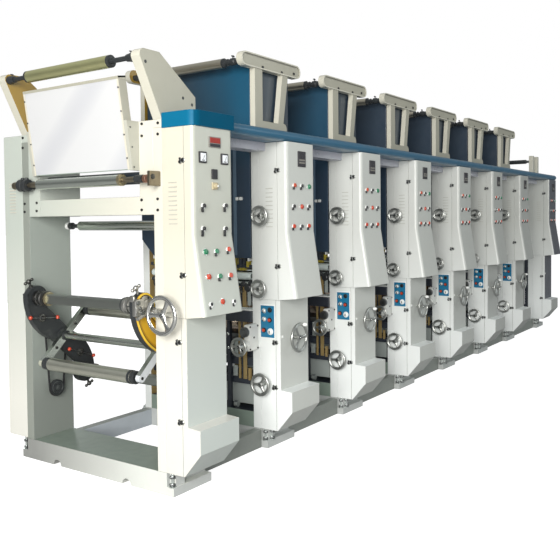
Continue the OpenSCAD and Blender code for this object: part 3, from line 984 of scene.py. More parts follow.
@dataclass
class Repeater:
    """Geometry Nodes tree that sets one small part on every point of a mesh."""

    form: Form
    size: float
    height: float
    main: Finish
    inner: Finish
    spots: list[tuple[Vector, Vector]] = field(default_factory=list)

    def put(self, place: Point, facing_to: Point) -> None:
        """Adds a place for one more of the part."""
        self.spots.append((Vector(place), Vector(facing_to).normalized()))

    def tree(self) -> tuple[bpy.types.NodeTree, dict[str, str]]:
        """Builds the node tree.

        Returns:
            The tree, and its inputs' identifiers by name.
        """
        tree = bpy.data.node_groups.new(f"{self.form.value}_rows", "GeometryNodeTree")
        tree.is_modifier = True
        keys: dict[str, str] = {}
        kinds = {"Points": "Geometry", "Size": "Float", "Height": "Float", "Main": "Material", "Inner": "Material"}
        for name, kind in kinds.items():
            socket = tree.interface.new_socket(name=name, in_out="INPUT", socket_type=f"NodeSocket{kind}")
            keys[name] = socket.identifier
        tree.interface.new_socket(name="Parts", in_out="OUTPUT", socket_type="NodeSocketGeometry")
        new = partial(add_node, tree)

        def times(a: bpy.types.NodeSocket, b: float) -> bpy.types.NodeSocket:
            """Multiplies a size."""
            return new("ShaderNodeMath", {0: a, 1: b}, operation="MULTIPLY").outputs[0]

        def vector(x: object, y: object, z: object) -> bpy.types.NodeSocket:
            """Joins three sizes."""
            return new("ShaderNodeCombineXYZ", {0: x, 1: y, 2: z}).outputs[0]

        given = new("NodeGroupInput").outputs
        size, height = given["Size"], given["Height"]
        if self.form is Form.LOUVRE:
            main = new("GeometryNodeMeshCube", {"Size": vector(times(size, 0.055), size, height)})
            inner = new("GeometryNodeMeshCube", {"Size": vector(times(size, 0.075), times(size, 0.96), height)})
            shifts = (vector(times(size, 0.062), 0.0, times(height, 0.62)), vector(0.0, 0.0, times(height, -0.36)))
        else:
            main = new("GeometryNodeMeshCylinder", {"Vertices": 14, "Radius": size, "Depth": height})
            inner = new("GeometryNodeMeshCylinder", {"Vertices": 6, "Radius": times(size, 0.5), "Depth": height})
            shifts = (vector(0.0, 0.0, times(height, 0.5)), vector(0.0, 0.0, times(height, 0.56)))
        joined = new("GeometryNodeJoinGeometry")
        for made, shift, key in ((main, shifts[0], "Main"), (inner, shifts[1], "Inner")):
            moved = new("GeometryNodeTransform", {"Geometry": made.outputs[0], "Translation": shift})
            dressed = new("GeometryNodeSetMaterial", {"Geometry": moved.outputs[0], "Material": given[key]})
            tree.links.new(dressed.outputs[0], joined.inputs[0])
        ways = new("GeometryNodeInputNamedAttribute", {"Name": "facing"}, data_type="FLOAT_VECTOR")
        turn = new("FunctionNodeAlignRotationToVector", {"Vector": ways.outputs[0]}, axis="Z", pivot_axis="AUTO")
        rows = new(
            "GeometryNodeInstanceOnPoints",
            {"Points": given["Points"], "Instance": joined.outputs[0], "Rotation": turn.outputs[0]},
        )
        real = new("GeometryNodeRealizeInstances", {0: rows.outputs[0]})
        new("NodeGroupOutput", {0: real.outputs[0]})
        return tree, keys

    def fit(self, name: str) -> None:
        """Makes the row of parts a piece of the machine.

        Args:
            name: The piece's name.
        """
        mesh = bpy.data.meshes.new(name)
        mesh.from_pydata([tuple(place) for place, _ in self.spots], [], [])
        ways = mesh.attributes.new("facing", "FLOAT_VECTOR", "POINT")
        ways.data.foreach_set("vector", [c for _, way in self.spots for c in way])
        piece = new_object(name, mesh)
        tree, keys = self.tree()
        modifier = piece.modifiers.new("rows", "NODES")
        modifier.node_group = tree
        materials = {"Main": material_of(self.main), "Inner": material_of(self.inner)}
        for key, value in {"Size": self.size, "Height": self.height, **materials}.items():
            modifier[keys[key]] = value
        settle(piece)
        join_machine(piece, "frame", self.main.slot)


# ---------------------------------------------------------------- shared measures and small fittings


def middle(node: str) -> Vector:
    """Returns the middle of a CAD node's box."""
    low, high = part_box(node)
    return (low + high) / 2


UNIT_X = [middle(f"print_cylinder_{i}").x for i in range(1, 7)]
END_X = middle("end_posts").x
PAST_UNITS = 7.6
COLUMNS = [*UNIT_X, END_X]
CAB = (-0.175, 0.193)
FRONT_X = CAB[0]
SEAM, SEAM_DEPTH = 0.0012, 0.006


@dataclass(frozen=True)
class Handwheel:
    """Spoked handwheel with its axis along local Z."""

    diameter: float
    height: float = 0.06
    rim: float = 0.0098
    finish: Finish = DARK_WHEEL
    crank: bool = False

    def add(self, shape: Shape, place: Point, axis: Point) -> None:
        """Adds the wheel to a piece.

        Args:
            shape: The piece.
            place: Where the hub's back stands.
            axis: Direction from the hub's back to the rim.
        """
        old = shape.origin
        shape.origin = old @ Matrix.Translation(Vector(place)) @ facing(axis)
        major, h, r = self.diameter / 2 - self.rim, self.height, self.rim
        shape.ring((0, 0, h), UP, major, r, self.finish)
        shape.ring((0, 0, h + r * 0.25), UP, major - r * 0.95, r * 0.42, self.finish, 44, 8)
        hub = [(0.0, 0.012), (0.003, 0.0155), (h * 0.35, 0.0155), (h * 0.45, 0.012), (h * 0.7, 0.012),
               (h * 0.78, 0.019), (h + 0.003, 0.019), (h + 0.007, 0.015)]
        shape.turned((0, 0, 0), UP, hub, self.finish, 24)
        shape.turned((0, 0, h + 0.0065), UP, mm(0, 10, 1.2, 10, 2, 7), KNOB, 14)
        shape.ball((0, 0, h + 0.0075), 0.004, CHROME, 10)
        for i in range(3):
            self.spoke(shape, math.pi / 2 + i * 2 * math.pi / 3, major)
        if self.crank:
            a = math.pi / 2 + 1.15
            grip = Vector((math.cos(a), math.sin(a), 0)) * major
            shape.turned(
                grip + Vector((0, 0, h)), UP, mm(0, 5, 10, 5, 11, 11, 20, 13.5, 34, 12, 40, 7, 41, 0), PALE, 20
            )
        shape.origin = old

    def spoke(self, shape: Shape, angle: float, major: float) -> None:
        """Adds one spoke that widens like a web at the hub and the rim.

        Args:
            shape: The piece.
            angle: Its direction round the hub.
            major: Radius of the rim's centreline.
        """
        out = Vector((math.cos(angle), math.sin(angle), 0))
        side = Vector((-out.y, out.x, 0))
        size, root, sections = self.diameter, 0.01, []
        for t, wide in ((0.0, 0.085), (0.16, 0.068), (0.42, 0.052), (0.68, 0.062), (0.86, 0.098), (1.0, 0.15)):
            reach = root + (major - root) * t
            level = self.height - 0.004 + 0.004 * t
            deep = self.rim * 0.55
            sections.append([
                out * reach + side * (size * wide * u) + Vector((0, 0, level + deep * v * (1.15 - 0.5 * u * u)))
                for u, v in circle(1.0, 14)
            ])
        shape.skin(sections, self.finish)


@dataclass(frozen=True)
class Panel:
    """Front of a cabinet's panel box: upright above, slanting out below."""

    front: float
    bend_z: float = 1.56
    low_z: float = 1.091
    flare: float = 0.074

    def spot(self, x: float, z: float) -> tuple[Vector, Vector]:
        """Finds a point of the front at a height.

        Args:
            x: Place along the line.
            z: Height.

        Returns:
            The point, and the way that the front faces there.
        """
        if z >= self.bend_z:
            return Vector((x, self.front, z)), Vector((0, -1, 0))
        lean = self.flare / (self.bend_z - self.low_z)
        return Vector((x, self.front - (self.bend_z - z) * lean, z)), Vector((0, -1, lean)).normalized()

    def button(
        self, shape: Shape, x: float, z: float, cap: Finish, size: float = 0.0145, tall: float = 0.0154
    ) -> None:
        """Adds a round push button or lamp in its collar.

        Args:
            shape: The piece.
            x: Place along the line.
            z: Height.
            cap: Finish of the cap.
            size: Radius of the cap.
            tall: How far the cap stands out.
        """
        place, way = self.spot(x, z)
        wide = size * 1.25
        shape.turned(place, way, [(-0.002, wide), (tall * 0.2, wide), (tall * 0.38, size * 1.1)], CHROME, 24)
        shape.turned(place, way, [
            (-0.001, size), (tall * 0.72, size), (tall * 0.88, size * 0.9), (tall * 0.97, size * 0.55), (tall, 0.0),
        ], cap, 24)

    def selector(
        self, shape: Shape, x: float, z: float, cap: Finish = KNOB, tall: float = 0.014, tail: float = 0.026
    ) -> None:
        """Adds a turning switch with a long raised grip over a white collar, painted as a chrome highlight.

        Args:
            shape: The piece.
            x: Place along the line.
            z: Height.
            cap: Finish of its face.
            tall: How far the grip stands out.
            tail: How far its pointer reaches down.
        """
        place, way = self.spot(x, z)
        old = shape.origin
        # White collar painted as the highlight of chrome
        shape.turned(place, way, mm(-2, 18, 3, 18, 5, 16.5, 5.5, 0), PALE, 24)
        shape.origin = old @ Matrix.Translation(place) @ facing(way)
        wide = 0.011 if cap is KNOB else 0.015
        face = [(0, wide), (tall * 0.8, wide), (tall * 0.97, wide * 0.85), (tall, 0.0)]
        shape.turned((-0.004, 0.003, 0.0), UP, face, cap, 22)
        shape.block((0.005, -0.019, 0.001), (tail, -0.005, tall * 0.85), KNOB, 0.0025)
        if cap is KNOB and tall > 0.01:
            shape.block((-0.01, -0.006, 0.001), (0.008, 0.002, tall * 1.5), KNOB, 0.002)
        shape.origin = old

    def plate(self, shape: Shape, low: Point, high: Point, out: float, finish: Finish, edge: float = 0.0015) -> None:
        """Adds a flat plate on the upright front between two corners in X and Z."""
        shape.block((low[0], self.front - out, low[1]), (high[0], self.front + 0.002, high[1]), finish, edge)


def latch(shape: Shape, x: float, y: float, z: float, size: float = 1.0) -> None:
    """Adds a two-lobed turning latch on a face that looks ahead of the line.

    Args:
        shape: The piece.
        x: The face.
        y: Place across.
        z: Height.
        size: Factor on its size.
    """
    for along, rise, radius in mm(-12, 4, 16, 11, -4, 13.5, 10, 14, 8, step=3):
        shape.turned((x + 0.001, y + along * size, z + rise), AHEAD, [
            (0, radius * size), (0.006, radius * size), (0.008, radius * 0.86 * size),
        ], DARK_WHEEL, 20)
        shape.ring((x - 0.0075, y + along * size, z + rise), AHEAD, radius * 0.66 * size, 0.0026, STEEL, 22, 8)
        shape.turned((x - 0.006, y + along * size, z + rise), AHEAD, [
            (0, radius * 0.5 * size), (0.008, radius * 0.42 * size), (0.0085, 0.0),
        ], KNOB, 16)


def knob_screw(shape: Shape, foot: Point, tip: Point, finish: Finish = CASTING, size: float = 1.0) -> None:
    """Adds a clamping screw with a winged head.

    Args:
        shape: The piece.
        foot: Where the screw enters.
        tip: The middle of its head.
        finish: Its finish.
        size: Factor on its size.
    """
    a, b = Vector(foot), Vector(tip)
    shape.rod(a, b, 0.0065 * size, finish, 16)
    shape.ball(b, 0.0125 * size, finish, 14)
    across = (b - a).normalized().cross(Vector((0, 1, 0))).normalized() * 0.022 * size
    shape.rod(b - across, b + across, 0.0055 * size, finish, 14)
    for end in (b - across, b + across):
        shape.ball(end, 0.0085 * size, finish, 12)


def levelling_bolt(shape: Shape, x: float, y: float) -> None:
    """Adds an upright levelling bolt with its nuts and washer to a foot.

    Args:
        shape: The piece.
        x: Place along the line.
        y: Place across.
    """
    low, high = 0.054, 0.137
    shape.rod((x, y, low), (x, y, high), 0.009, CHROME, 18)
    shape.turned((x, y, low), UP, mm(0, 22, 4, 22, 6, 19), CHROME, 20)
    for z in (low + 0.007, high - 0.03):
        shape.turned((x, y, z), UP, mm(0, 17.5, 2, 18.5, 13, 18.5, 15, 17), STEEL, 6)


def roller(
    shape: Shape, place: tuple[float, float], half: float, radius: float, journal: Optional[float],
    thin: float, finish: Finish, core: Finish,
) -> None:
    """Adds a roller along Y with stepped ends.

    Args:
        shape: The piece.
        place: Its axis in X and Z.
        half: Half its length.
        radius: Its radius.
        journal: Half the length over its journals, or none.
        thin: Radius of the journals.
        finish: Finish of the roller's face.
        core: Finish of its ends and journals.
    """
    x, z = place
    face = [(0.0, radius - 0.004), (0.001, radius - 0.001), (0.003, radius)]
    face += [(2 * half - d, r) for d, r in reversed(face)]
    shape.turned((x, -half, z), (0, 1, 0), face, finish, 56)
    for s in BOTH:
        collar = [(0, radius * 0.62), (0.004, radius * 0.62), (0.006, radius * 0.5)]
        shape.turned((x, s * half, z), (0, s, 0), collar, core, 32)
        if journal:
            shape.rod((x, s * (half - 0.01), z), (x, s * journal, z), thin, core, 28)


# ---------------------------------------------------------------- reel stand


@dataclass
class ReelStand:
    """Frame of the reel stand, with its cabinet, board and rollers."""

    wall_face: float = 0.658
    inner: float = 0.586
    panel: Panel = Panel(-0.898)
    nip: tuple[float, float] = (-0.24, 1.894)
    top: tuple[float, float] = (-0.313, 2.593)
    outlet: tuple[float, float] = (0.15, 1.615)
    pulley: tuple[float, float] = (-0.002, 0.475)

    def build(self) -> None:
        """Builds every piece of the stand."""
        self.base()
        self.walls()
        self.cabinet()
        self.panel_box()
        self.switches()
        self.cap()
        self.drive_cover()
        self.brackets()
        self.board()
        self.nip_blocks()
        self.belt()
        self.rollers()
        self.wheel()
        self.fasteners()

    def base(self) -> None:
        """Builds the foot with its green top between the walls."""
        shape = Shape("stand_base_beam").node(
            "stand_base", CREAM_BASE,
            lambda p, n: BASE_GREEN if to_top(n) and p.z > 0.1 and abs(p.y) < 0.65 else (
                FOOT if to_front(n) and p.y < -0.5 else None
            ),
        )
        for side in Side:
            levelling_bolt(shape, -0.161, side.value * 0.69)
        shape.fit(stands_for=["stand_base"])

    def walls(self) -> None:
        """Builds the walls, head boxes and upper beam."""
        dress("stand_side_walls", "stand_walls", CREAM, lambda p, n: (
            STAND_INNER if to_front(n) else STAND_EDGE if n.x < -LEAN and p.z < 1.25 else None
        ) if p.y > 0 else None)
        dress("stand_heads", "stand_head_boxes", CREAM)
        dress("stand_cross_beam", "stand_upper_beam", CREAM, None, 0.004)

    def cabinet(self) -> None:
        """Builds the lower cabinet with its bulging foot and its door."""
        shape = Shape("stand_lower_cabinet")
        # Faces to the operator take the shaded cream, a painted shade
        lower_cabinet(shape, -self.wall_face, -0.79, CREAM_DOOR, 0.0, looks_to_operator(CREAM_FRONT_SHADE))
        for y, z in mm(-769, 929, -779, 458):
            latch(shape, FRONT_X, y, z, 0.95)
        shape.fit(stands_for=["stand_cabinet"])

    def panel_box(self) -> None:
        """Builds the panel box with its door."""
        shape = Shape("stand_panel_housing")
        # Faces to the operator take the shaded cream, a painted shade
        panel_housing(shape, -self.wall_face, -0.826, self.panel, CREAM_DOOR, 0.0, looks_to_operator(CREAM_FRONT_SHADE))
        for y, z in mm(-813, 1989, -811, 1323):
            latch(shape, FRONT_X, y, z, 0.95)
        shape.fit(stands_for=["stand_panel_box"])

    def switches(self) -> None:
        """Builds what stands on the panel."""
        shape, p = Shape("stand_panel_switches"), self.panel
        p.plate(shape, (-0.036, 2.073), (0.074, 2.138), 0.006, SCREEN_GREY, 0.003)
        p.plate(shape, (-0.026, 2.1), (0.066, 2.132), 0.009, SCREEN_RED, 0.001)
        p.plate(shape, (-0.026, 2.078), (0.066, 2.096), 0.008, SCREEN, 0.001)
        for x in (-0.093, 0.109):
            p.plate(shape, (x - 0.033, 1.978), (x + 0.033, 2.044), 0.009, SCREEN, 0.003)
            p.plate(shape, (x - 0.024, 1.987), (x + 0.024, 2.035), 0.011, DIAL, 0.002)
            p.plate(shape, (x - 0.016, 1.991), (x + 0.01, 1.996), 0.0115, SCREEN, 0.0)
            shape.rod(
                (x - 0.004, p.front - 0.0115, 1.998), (x + 0.012, p.front - 0.0115, 2.026), 0.0009, KNOB, 6, 0.0
            )
        p.plate(shape, (-0.012, 1.888), (0.034, 1.946), 0.012, SCREEN, 0.003)
        p.plate(shape, (-0.008, 1.826), (0.036, 1.868), 0.01, TAN, 0.002)
        shape.turned((0.014, p.front - 0.009, 1.848), TO_OPERATOR, mm(0, 16, 12, 15, 16, 11, 17, 0), TAN, 24)
        shape.turned((0.018, p.front - 0.022, 1.846), TO_OPERATOR, mm(0, 6, 6, 6, 8, 0), PALE, 14)
        for x, z in mm(-92, 1728, 113, 1730, -95, 1595, 111, 1591):
            p.selector(shape, x, z, tail=0.036 if z > 1.7 else 0.044)
        for x, z, cap in ((-0.098, 1.461, GREEN), (-0.101, 1.317, RED), (0.0, 1.166, RED)):
            p.button(shape, x, z, cap, 0.017, 0.0154 if z > 1.25 else 0.008)
        for x, z, cap, tall in (
            (0.002, 1.457, GREEN, 0.014), (0.003, 1.31, GREEN, 0.014), (0.103, 1.309, RED, 0.014),
            (-0.108, 1.156, KNOB, 0.007), (0.108, 1.153, KNOB, 0.007), (0.118, 1.464, RED, 0.014),
        ):
            p.selector(shape, x, z, cap, tall)
        shape.fit()

    def cap(self) -> None:
        """Builds the blue cap with its rounded corner; faces to the operator take a shaded copy of the blue, a painted
        shade.
        """
        dress("stand_blue_cap", "stand_cap", CAP_BLUE, looks_to_operator(CAP_FRONT_SHADE), 0.005)

    def drive_cover(self) -> None:
        """Builds the drive side's cover with its doors."""
        shape = Shape("stand_drive_cabinet").node("stand_drive_cover", CREAM, None, 0.006)
        for z0, z1 in mm(170, 1180, 1190, 2215):
            shape.block((-0.15, 0.855, z0), (0.168, 0.8595, z1), CREAM, 0.0015)
            for z in (z0 + 0.1, z1 - 0.1):
                shape.rod((0.16, 0.858, z - 0.03), (0.16, 0.858, z + 0.03), 0.0015, STEEL, 10)
            lock = mm(0, 16, 0.8, 16, 1.2, 0)
            shape.turned((-0.12, 0.8585, (z0 + z1) / 2), TO_DRIVE, lock, STEEL, 20)
        shape.fit(stands_for=["stand_drive_cover"])

    def brackets(self) -> None:
        """Builds the fan-shaped brackets with the top roller's sockets."""
        # Faces to the operator take the shaded beige, a painted shade
        shape = Shape("stand_fan_brackets").node(
            "stand_top_brackets", BEIGE,
            lambda p, n: BLACK if self.inner - 0.065 < abs(p.y) < self.inner - 0.001 else (
                FAN_OCHRE if abs(n.y) > LEAN and ((p.y > 0) == (n.y < 0)) else BEIGE_FRONT_SHADE if to_front(n) else None
            ), 0.0025,
        )
        x, z = self.top
        for s in BOTH:
            shape.turned(
                (x, s * (self.inner + 0.001), z), (0, -s, 0), mm(0, 27.5, 30, 26.5, 34, 24, 58, 22, 60.5, 20), BLACK,
                28,
            )
            knob_screw(shape, (x, s * 0.556, 2.61), (x, s * 0.556, 2.628), BLACK, 0.45)
        shape.fit(stands_for=["stand_top_brackets"])

    def board(self) -> None:
        """Builds the glossy board in its frame, on its two cheek plates."""
        shape = Shape("stand_glossy_board")
        face = mm(-313.8, 2502.1, -229.8, 1953.8, -225, 1954.5, -309, 2502.8)
        shape.prism(face, "y", -0.438, 0.438, BOARD, 0.0008)
        frame_outline = mm(-315, 2502, -231, 1952, -168, 1962, -252, 2512)
        # Frame fronts to the operator take the shaded cream, a painted shade
        for s in BOTH:
            a, b = sorted((s * 0.446, s * 0.43))
            shape.prism(frame_outline, "y", a, b, CREAM_DOOR, 0.0015, looks_to_operator(CHEEK_SHADE))
        for outline, half, finish, edge in (
            ([(-0.3151, 2.5022), (-0.3134, 2.4915), (-0.2507, 2.501), (-0.2522, 2.5121)], 0.446, ARM_GREY, 0.001),
            ([(-0.3156, 2.5021), (-0.3128, 2.485), (-0.31, 2.4856), (-0.3125, 2.5026)], 0.446, BEIGE_FRONT_SHADE, 0.0),
            (mm(-231.8, 1957.5, -230.9, 1951.8, -168, 1961.5, -168.8, 1967.5), 0.446, BASE_GREEN, 0.001),
            (mm(-256, 2480, -178, 1975, -174.5, 1975.5, -252.5, 2480.5), 0.432, TROUGH, 0.0),
        ):
            shape.prism(outline, "y", -half, half, finish, edge)
        # Cheek plates in the shaded cream, a painted shade
        for s in BOTH:
            a, b = sorted((s * 0.47, s * 0.4455))
            shape.prism(mm(-275, 2245, -230, 1950, -160, 1950, -160, 2245), "y", a, b, CHEEK_SHADE, 0.0015)
        shape.fit(stands_for=["inspection_board"])

    def nip_blocks(self) -> None:
        """Builds the bearings of the nip roller."""
        x, z = self.nip
        shape = Shape("stand_nip_blocks")
        shape.block((-0.268, -0.645, z - 0.044), (-0.175, -0.625, z + 0.044), BRONZE, 0.003)
        shape.block((-0.262, -0.647, z - 0.04), (-0.181, -0.64, z + 0.04), BRONZE, 0.0015)
        shape.turned((x - 0.004, -0.6455, z + 0.01), TO_OPERATOR, mm(0, 16, 6, 16, 9, 11, 10, 0), CASTING, 20)
        shape.turned(
            (x, -0.626, z), TO_DRIVE, mm(0, 22, 2, 24.5, 18, 24.5, 20, 22, 26, 22, 28, 24.5, 48, 24.5, 51, 21),
            COPPER, 30,
        )
        shape.block((x, 0.515, z - 0.028), (-0.175, 0.585, z + 0.028), BLACK, 0.003)
        shape.turned(
            (x, 0.5, z), TO_DRIVE, mm(0, 34, 4, 41, 26, 42, 30, 36, 46, 36, 50, 43, 86, 43, 92, 36), BLACK, 34
        )
        for y in (0.524, 0.566):
            shape.turned((x, y, z + 0.036), UP, mm(0, 14, 12, 13, 16, 9, 17, 0), BLACK, 18)
        shape.turned((x, 0.59, z), TO_DRIVE, mm(0, 24, 40, 24, 44, 26, 62, 26, 65, 21), BRONZE, 26)
        shape.fit(stands_for=["nip_bearings"])

    def belt(self) -> None:
        """Builds the brake's belt loop and its small pulley."""
        shape = Shape("stand_brake_belt")
        y0, y1, low, high = 0.544, 0.558, Vector(self.pulley), Vector((0.0, 0.853))
        x, z = self.pulley
        large, small, thick, steps = 0.089, 0.059, 0.003, 28
        tilt = math.asin((large - small) / (high - low).length)
        arcs = [(-tilt + (math.pi + 2 * tilt) * i / (steps - 1), high, large) for i in range(steps)]
        arcs += [(math.pi + tilt + (math.pi - 2 * tilt) * i / (steps - 1), low, small) for i in range(steps)]
        sections = []
        for a, centre, radius in arcs:
            out = Vector((math.cos(a), math.sin(a)))
            rim, root = centre + out * (radius + thick), centre + out * (radius - thick)
            sections.append([Vector((p.x, y, p.y)) for p, y in ((rim, y0), (rim, y1), (root, y1), (root, y0))])
        shape.skin(sections, BELT, loop=True)
        shape.turned(
            (x, 0.54, z), TO_DRIVE, mm(0, 46, 1, 55.5, 3, 55.5, 4, 54.5, 18, 54.5, 19, 55.5, 21, 55.5, 22, 50), BLACK,
            40,
        )
        shape.ring((x, 0.54, z), TO_DRIVE, 0.043, 0.0022, STEEL, 40, 8)
        shape.turned((x, 0.5395, z), TO_OPERATOR, mm(0, 20, 4, 20, 6, 16, 6.5, 0), STEEL, 24)
        shape.rod((x, 0.55, z), (x, 0.586, z), 0.014, STEEL)
        shape.fit(stands_for=["brake_belt"])

    def rollers(self) -> None:
        """Builds the stand's four rollers."""
        shape = Shape("stand_top_web_roller")
        roller(shape, self.top, 0.38, 0.0378, 0.525, 0.015, CREAM_ROLLER, BLACK)
        x, z = self.top
        collar = [
            (0, 0.037), (0.001, 0.0379), (0.017, 0.0379), (0.02, 0.034), (0.021, 0.018), (0.03, 0.018),
            (0.032, 0.015),
        ]
        for s in BOTH:
            shape.turned((x, s * 0.376, z), (0, s, 0), collar, BLACK, 36)
        shape.fit("top_roller", ["stand_top_roller"])
        x, z = self.nip
        shape = Shape("stand_nip_web_roller")
        roller(shape, self.nip, 0.392, 0.035, None, 0.0, SILVER, STEEL)
        shape.turned((x, -0.372, z), TO_OPERATOR, mm(0, 35.2, 1, 36, 22, 36, 25, 30), TAN_METAL, 36)
        shape.rod((x, -0.573, z), (x, -0.392, z), 0.017, BRONZE)
        shape.rod((x, 0.392, z), (x, 0.498, z), 0.017, BRONZE)
        shape.turned(
            (x, -0.505, z), TO_OPERATOR, mm(0, 20, 3, 25, 26, 25, 28, 21, 34, 21, 36, 25, 63, 25, 66, 20), BLACK, 32
        )
        shape.fit("nip_roller", ["stand_nip_roller"])
        low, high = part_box("stand_rubber_roller")
        mid = (low + high) / 2
        shape = Shape("stand_rubber_web_roller")
        roller(shape, (mid.x, mid.z), 0.44, (high.z - low.z) / 2, 0.468, 0.02, RUBBER, STEEL)
        shape.fit("rubber_roller", ["stand_rubber_roller"])
        shape = Shape("stand_outlet_web_roller")
        roller(shape, self.outlet, 0.446, 0.032, 0.584, 0.014, SILVER, BLACK)
        x, z = self.outlet
        shape.turned((x, 0.56, z), TO_OPERATOR, mm(0, 20, 4, 24, 34, 24, 38, 18), BLACK, 24)
        shape.turned((x, 0.584, z), TO_OPERATOR, mm(0, 26, 10, 26, 16, 20), PALE, 24)
        shape.fit("outlet_roller", ["stand_guide_roller"])

    def wheel(self) -> None:
        """Builds the stand's large handwheel and its spindle block."""
        shape = Shape("stand_large_handwheel")
        Handwheel(0.24, 0.088, 0.0115, WHEEL_CHROME).add(shape, (-0.176, -0.718, 1.095), AHEAD)
        shape.fit("stand_wheel", ["stand_handwheel"])
        shape = Shape("stand_wheel_spindle")
        shape.block((-0.214, -0.648, 1.092), (-0.172, -0.612, 1.124), NICKEL, 0.004)
        shape.rod((-0.2, -0.59, 1.108), (-0.2, -0.664, 1.108), 0.0095, NICKEL, 20)
        shape.turned((-0.2, -0.59, 1.108), TO_OPERATOR, mm(0, 12, 3, 14, 14, 14, 17, 10), NICKEL, 20)
        shape.fit()

    def fasteners(self) -> None:
        """Builds the screws and louvres of the stand."""
        screws = Repeater(Form.SCREW, 0.0085, 0.006, BOLT, KNOB)
        for y, z in mm(
            -499, 2228, -631, 2223, -498, 2156, -629, 2158, -489, 1772, -621, 1775, -488, 1712, -620, 1709, 639, 2226,
            642, 2158, 633, 1772, 503, 1776, 635, 1717, 505, 1721,
        ):
            screws.put((FRONT_X, y, z), AHEAD)
        screws.fit("stand_frame_screws")
        small = Repeater(Form.SCREW, 0.0055, 0.003, STEEL, KNOB)
        for x, z in mm(-246, 2205, -232, 2088, -218, 1969):
            small.put((x, -0.47, z), TO_OPERATOR)
            small.put((x, 0.47, z), TO_DRIVE)
        for y in (-0.438, 0.438):
            for i in range(4):
                t = 0.12 + 0.25 * i
                small.put((-0.315 + 0.084 * t, y, 2.502 - 0.55 * t), (-0.988, 0, -0.152))
        small.fit("stand_board_screws")
        # Black discs where the bracket has holes: painted shade of the holes
        holes = Repeater(Form.HOLE, 0.01, 0.0008, BOLT, KNOB)
        for x, z in mm(-300, 2560, 18, 2391, 101, 2359):
            holes.put((x, -self.wall_face, z), TO_OPERATOR)
        holes.fit("stand_bracket_holes")
        slots = Repeater(Form.LOUVRE, 0.068, 0.0035, CREAM_DOOR, SLOT_GREY)
        for i in range(10):
            slots.put((FRONT_X, -0.738, 1.626 + i * 0.0267), AHEAD)
            slots.put((FRONT_X, 0.765, 1.711 + i * 0.022), AHEAD)
        slots.fit("stand_louvres")


def wall_box(
    shape: Shape, y0: float, seam: float, low: float, top: float, x: float, finish: Finish, rule: Rule
) -> None:
    """Adds the part of a box that stands on the wall, and the dark seam between it and its door section.

    Args:
        shape: The piece.
        y0: The wall's face.
        seam: Where the door section starts.
        low: Height of its underside.
        top: Height of its top.
        x: The column's middle.
        finish: Its paint.
        rule: Other finishes by face.
    """
    x0, x1, y1, inner = x + CAB[0], x + CAB[1], y0 - 0.0008, 0.01
    shape.prism([(y1, low), (seam + SEAM, low), (seam + SEAM, top), (y1, top)], "x", x0, x1, finish, 0.0015, rule)
    shape.prism([
        (seam + SEAM_DEPTH, low + inner), (seam - SEAM_DEPTH, low + inner),
        (seam - SEAM_DEPTH, top - inner), (seam + SEAM_DEPTH, top - inner),
    ], "x", x0 + SEAM_DEPTH, x1 - SEAM_DEPTH, SLOT_GREY, 0.0)


def lower_cabinet(shape: Shape, y0: float, seam: float, finish: Finish, x: float, rule: Rule) -> None:
    """Adds a lower cabinet: a body on the wall and a door section with the bulging foot.

    Args:
        shape: The piece.
        y0: The wall's face.
        seam: Where the door starts.
        finish: Its paint.
        x: The column's middle.
        rule: Other finishes by face.
    """
    front, low, top = y0 - 0.173, 0.139, 1.073
    wall_box(shape, y0, seam, low, top, x, finish, rule)
    bulge = front - 0.094
    shape.prism([
        (seam - SEAM, low), (front + 0.03, low), (bulge, 0.287), (bulge, 0.43), (front, 0.436), (front, top),
        (seam - SEAM, top),
    ], "x", x + CAB[0], x + CAB[1], finish, 0.0025, rule)


def panel_housing(
    shape: Shape, y0: float, seam: float, panel: Panel, finish: Finish, x: float, rule: Rule
) -> None:
    """Adds a panel box: a body on the wall and a panel section with rounded front corners.

    Args:
        shape: The piece.
        y0: The wall's face.
        seam: Where the panel section starts.
        panel: Its front.
        finish: Its paint.
        x: The column's middle.
        rule: Other finishes by face.
    """
    low, top, front, level, rounding = 1.0742, 2.19, panel.front, 1e-4, 0.026
    wall_box(shape, y0, seam, low, top, x, finish, rule)
    outline = [
        (seam - SEAM, low), (front - panel.flare, panel.low_z), (front, panel.bend_z), (front, top),
        (seam - SEAM, top),
    ]
    shape.prism(
        outline, "x", x + CAB[0], x + CAB[1], finish, 0.002, rule,
        lambda a, b: max(a.y, b.y) < front + 0.01 and abs(a.x - b.x) < level, rounding,
    )


# ---------------------------------------------------------------- turret


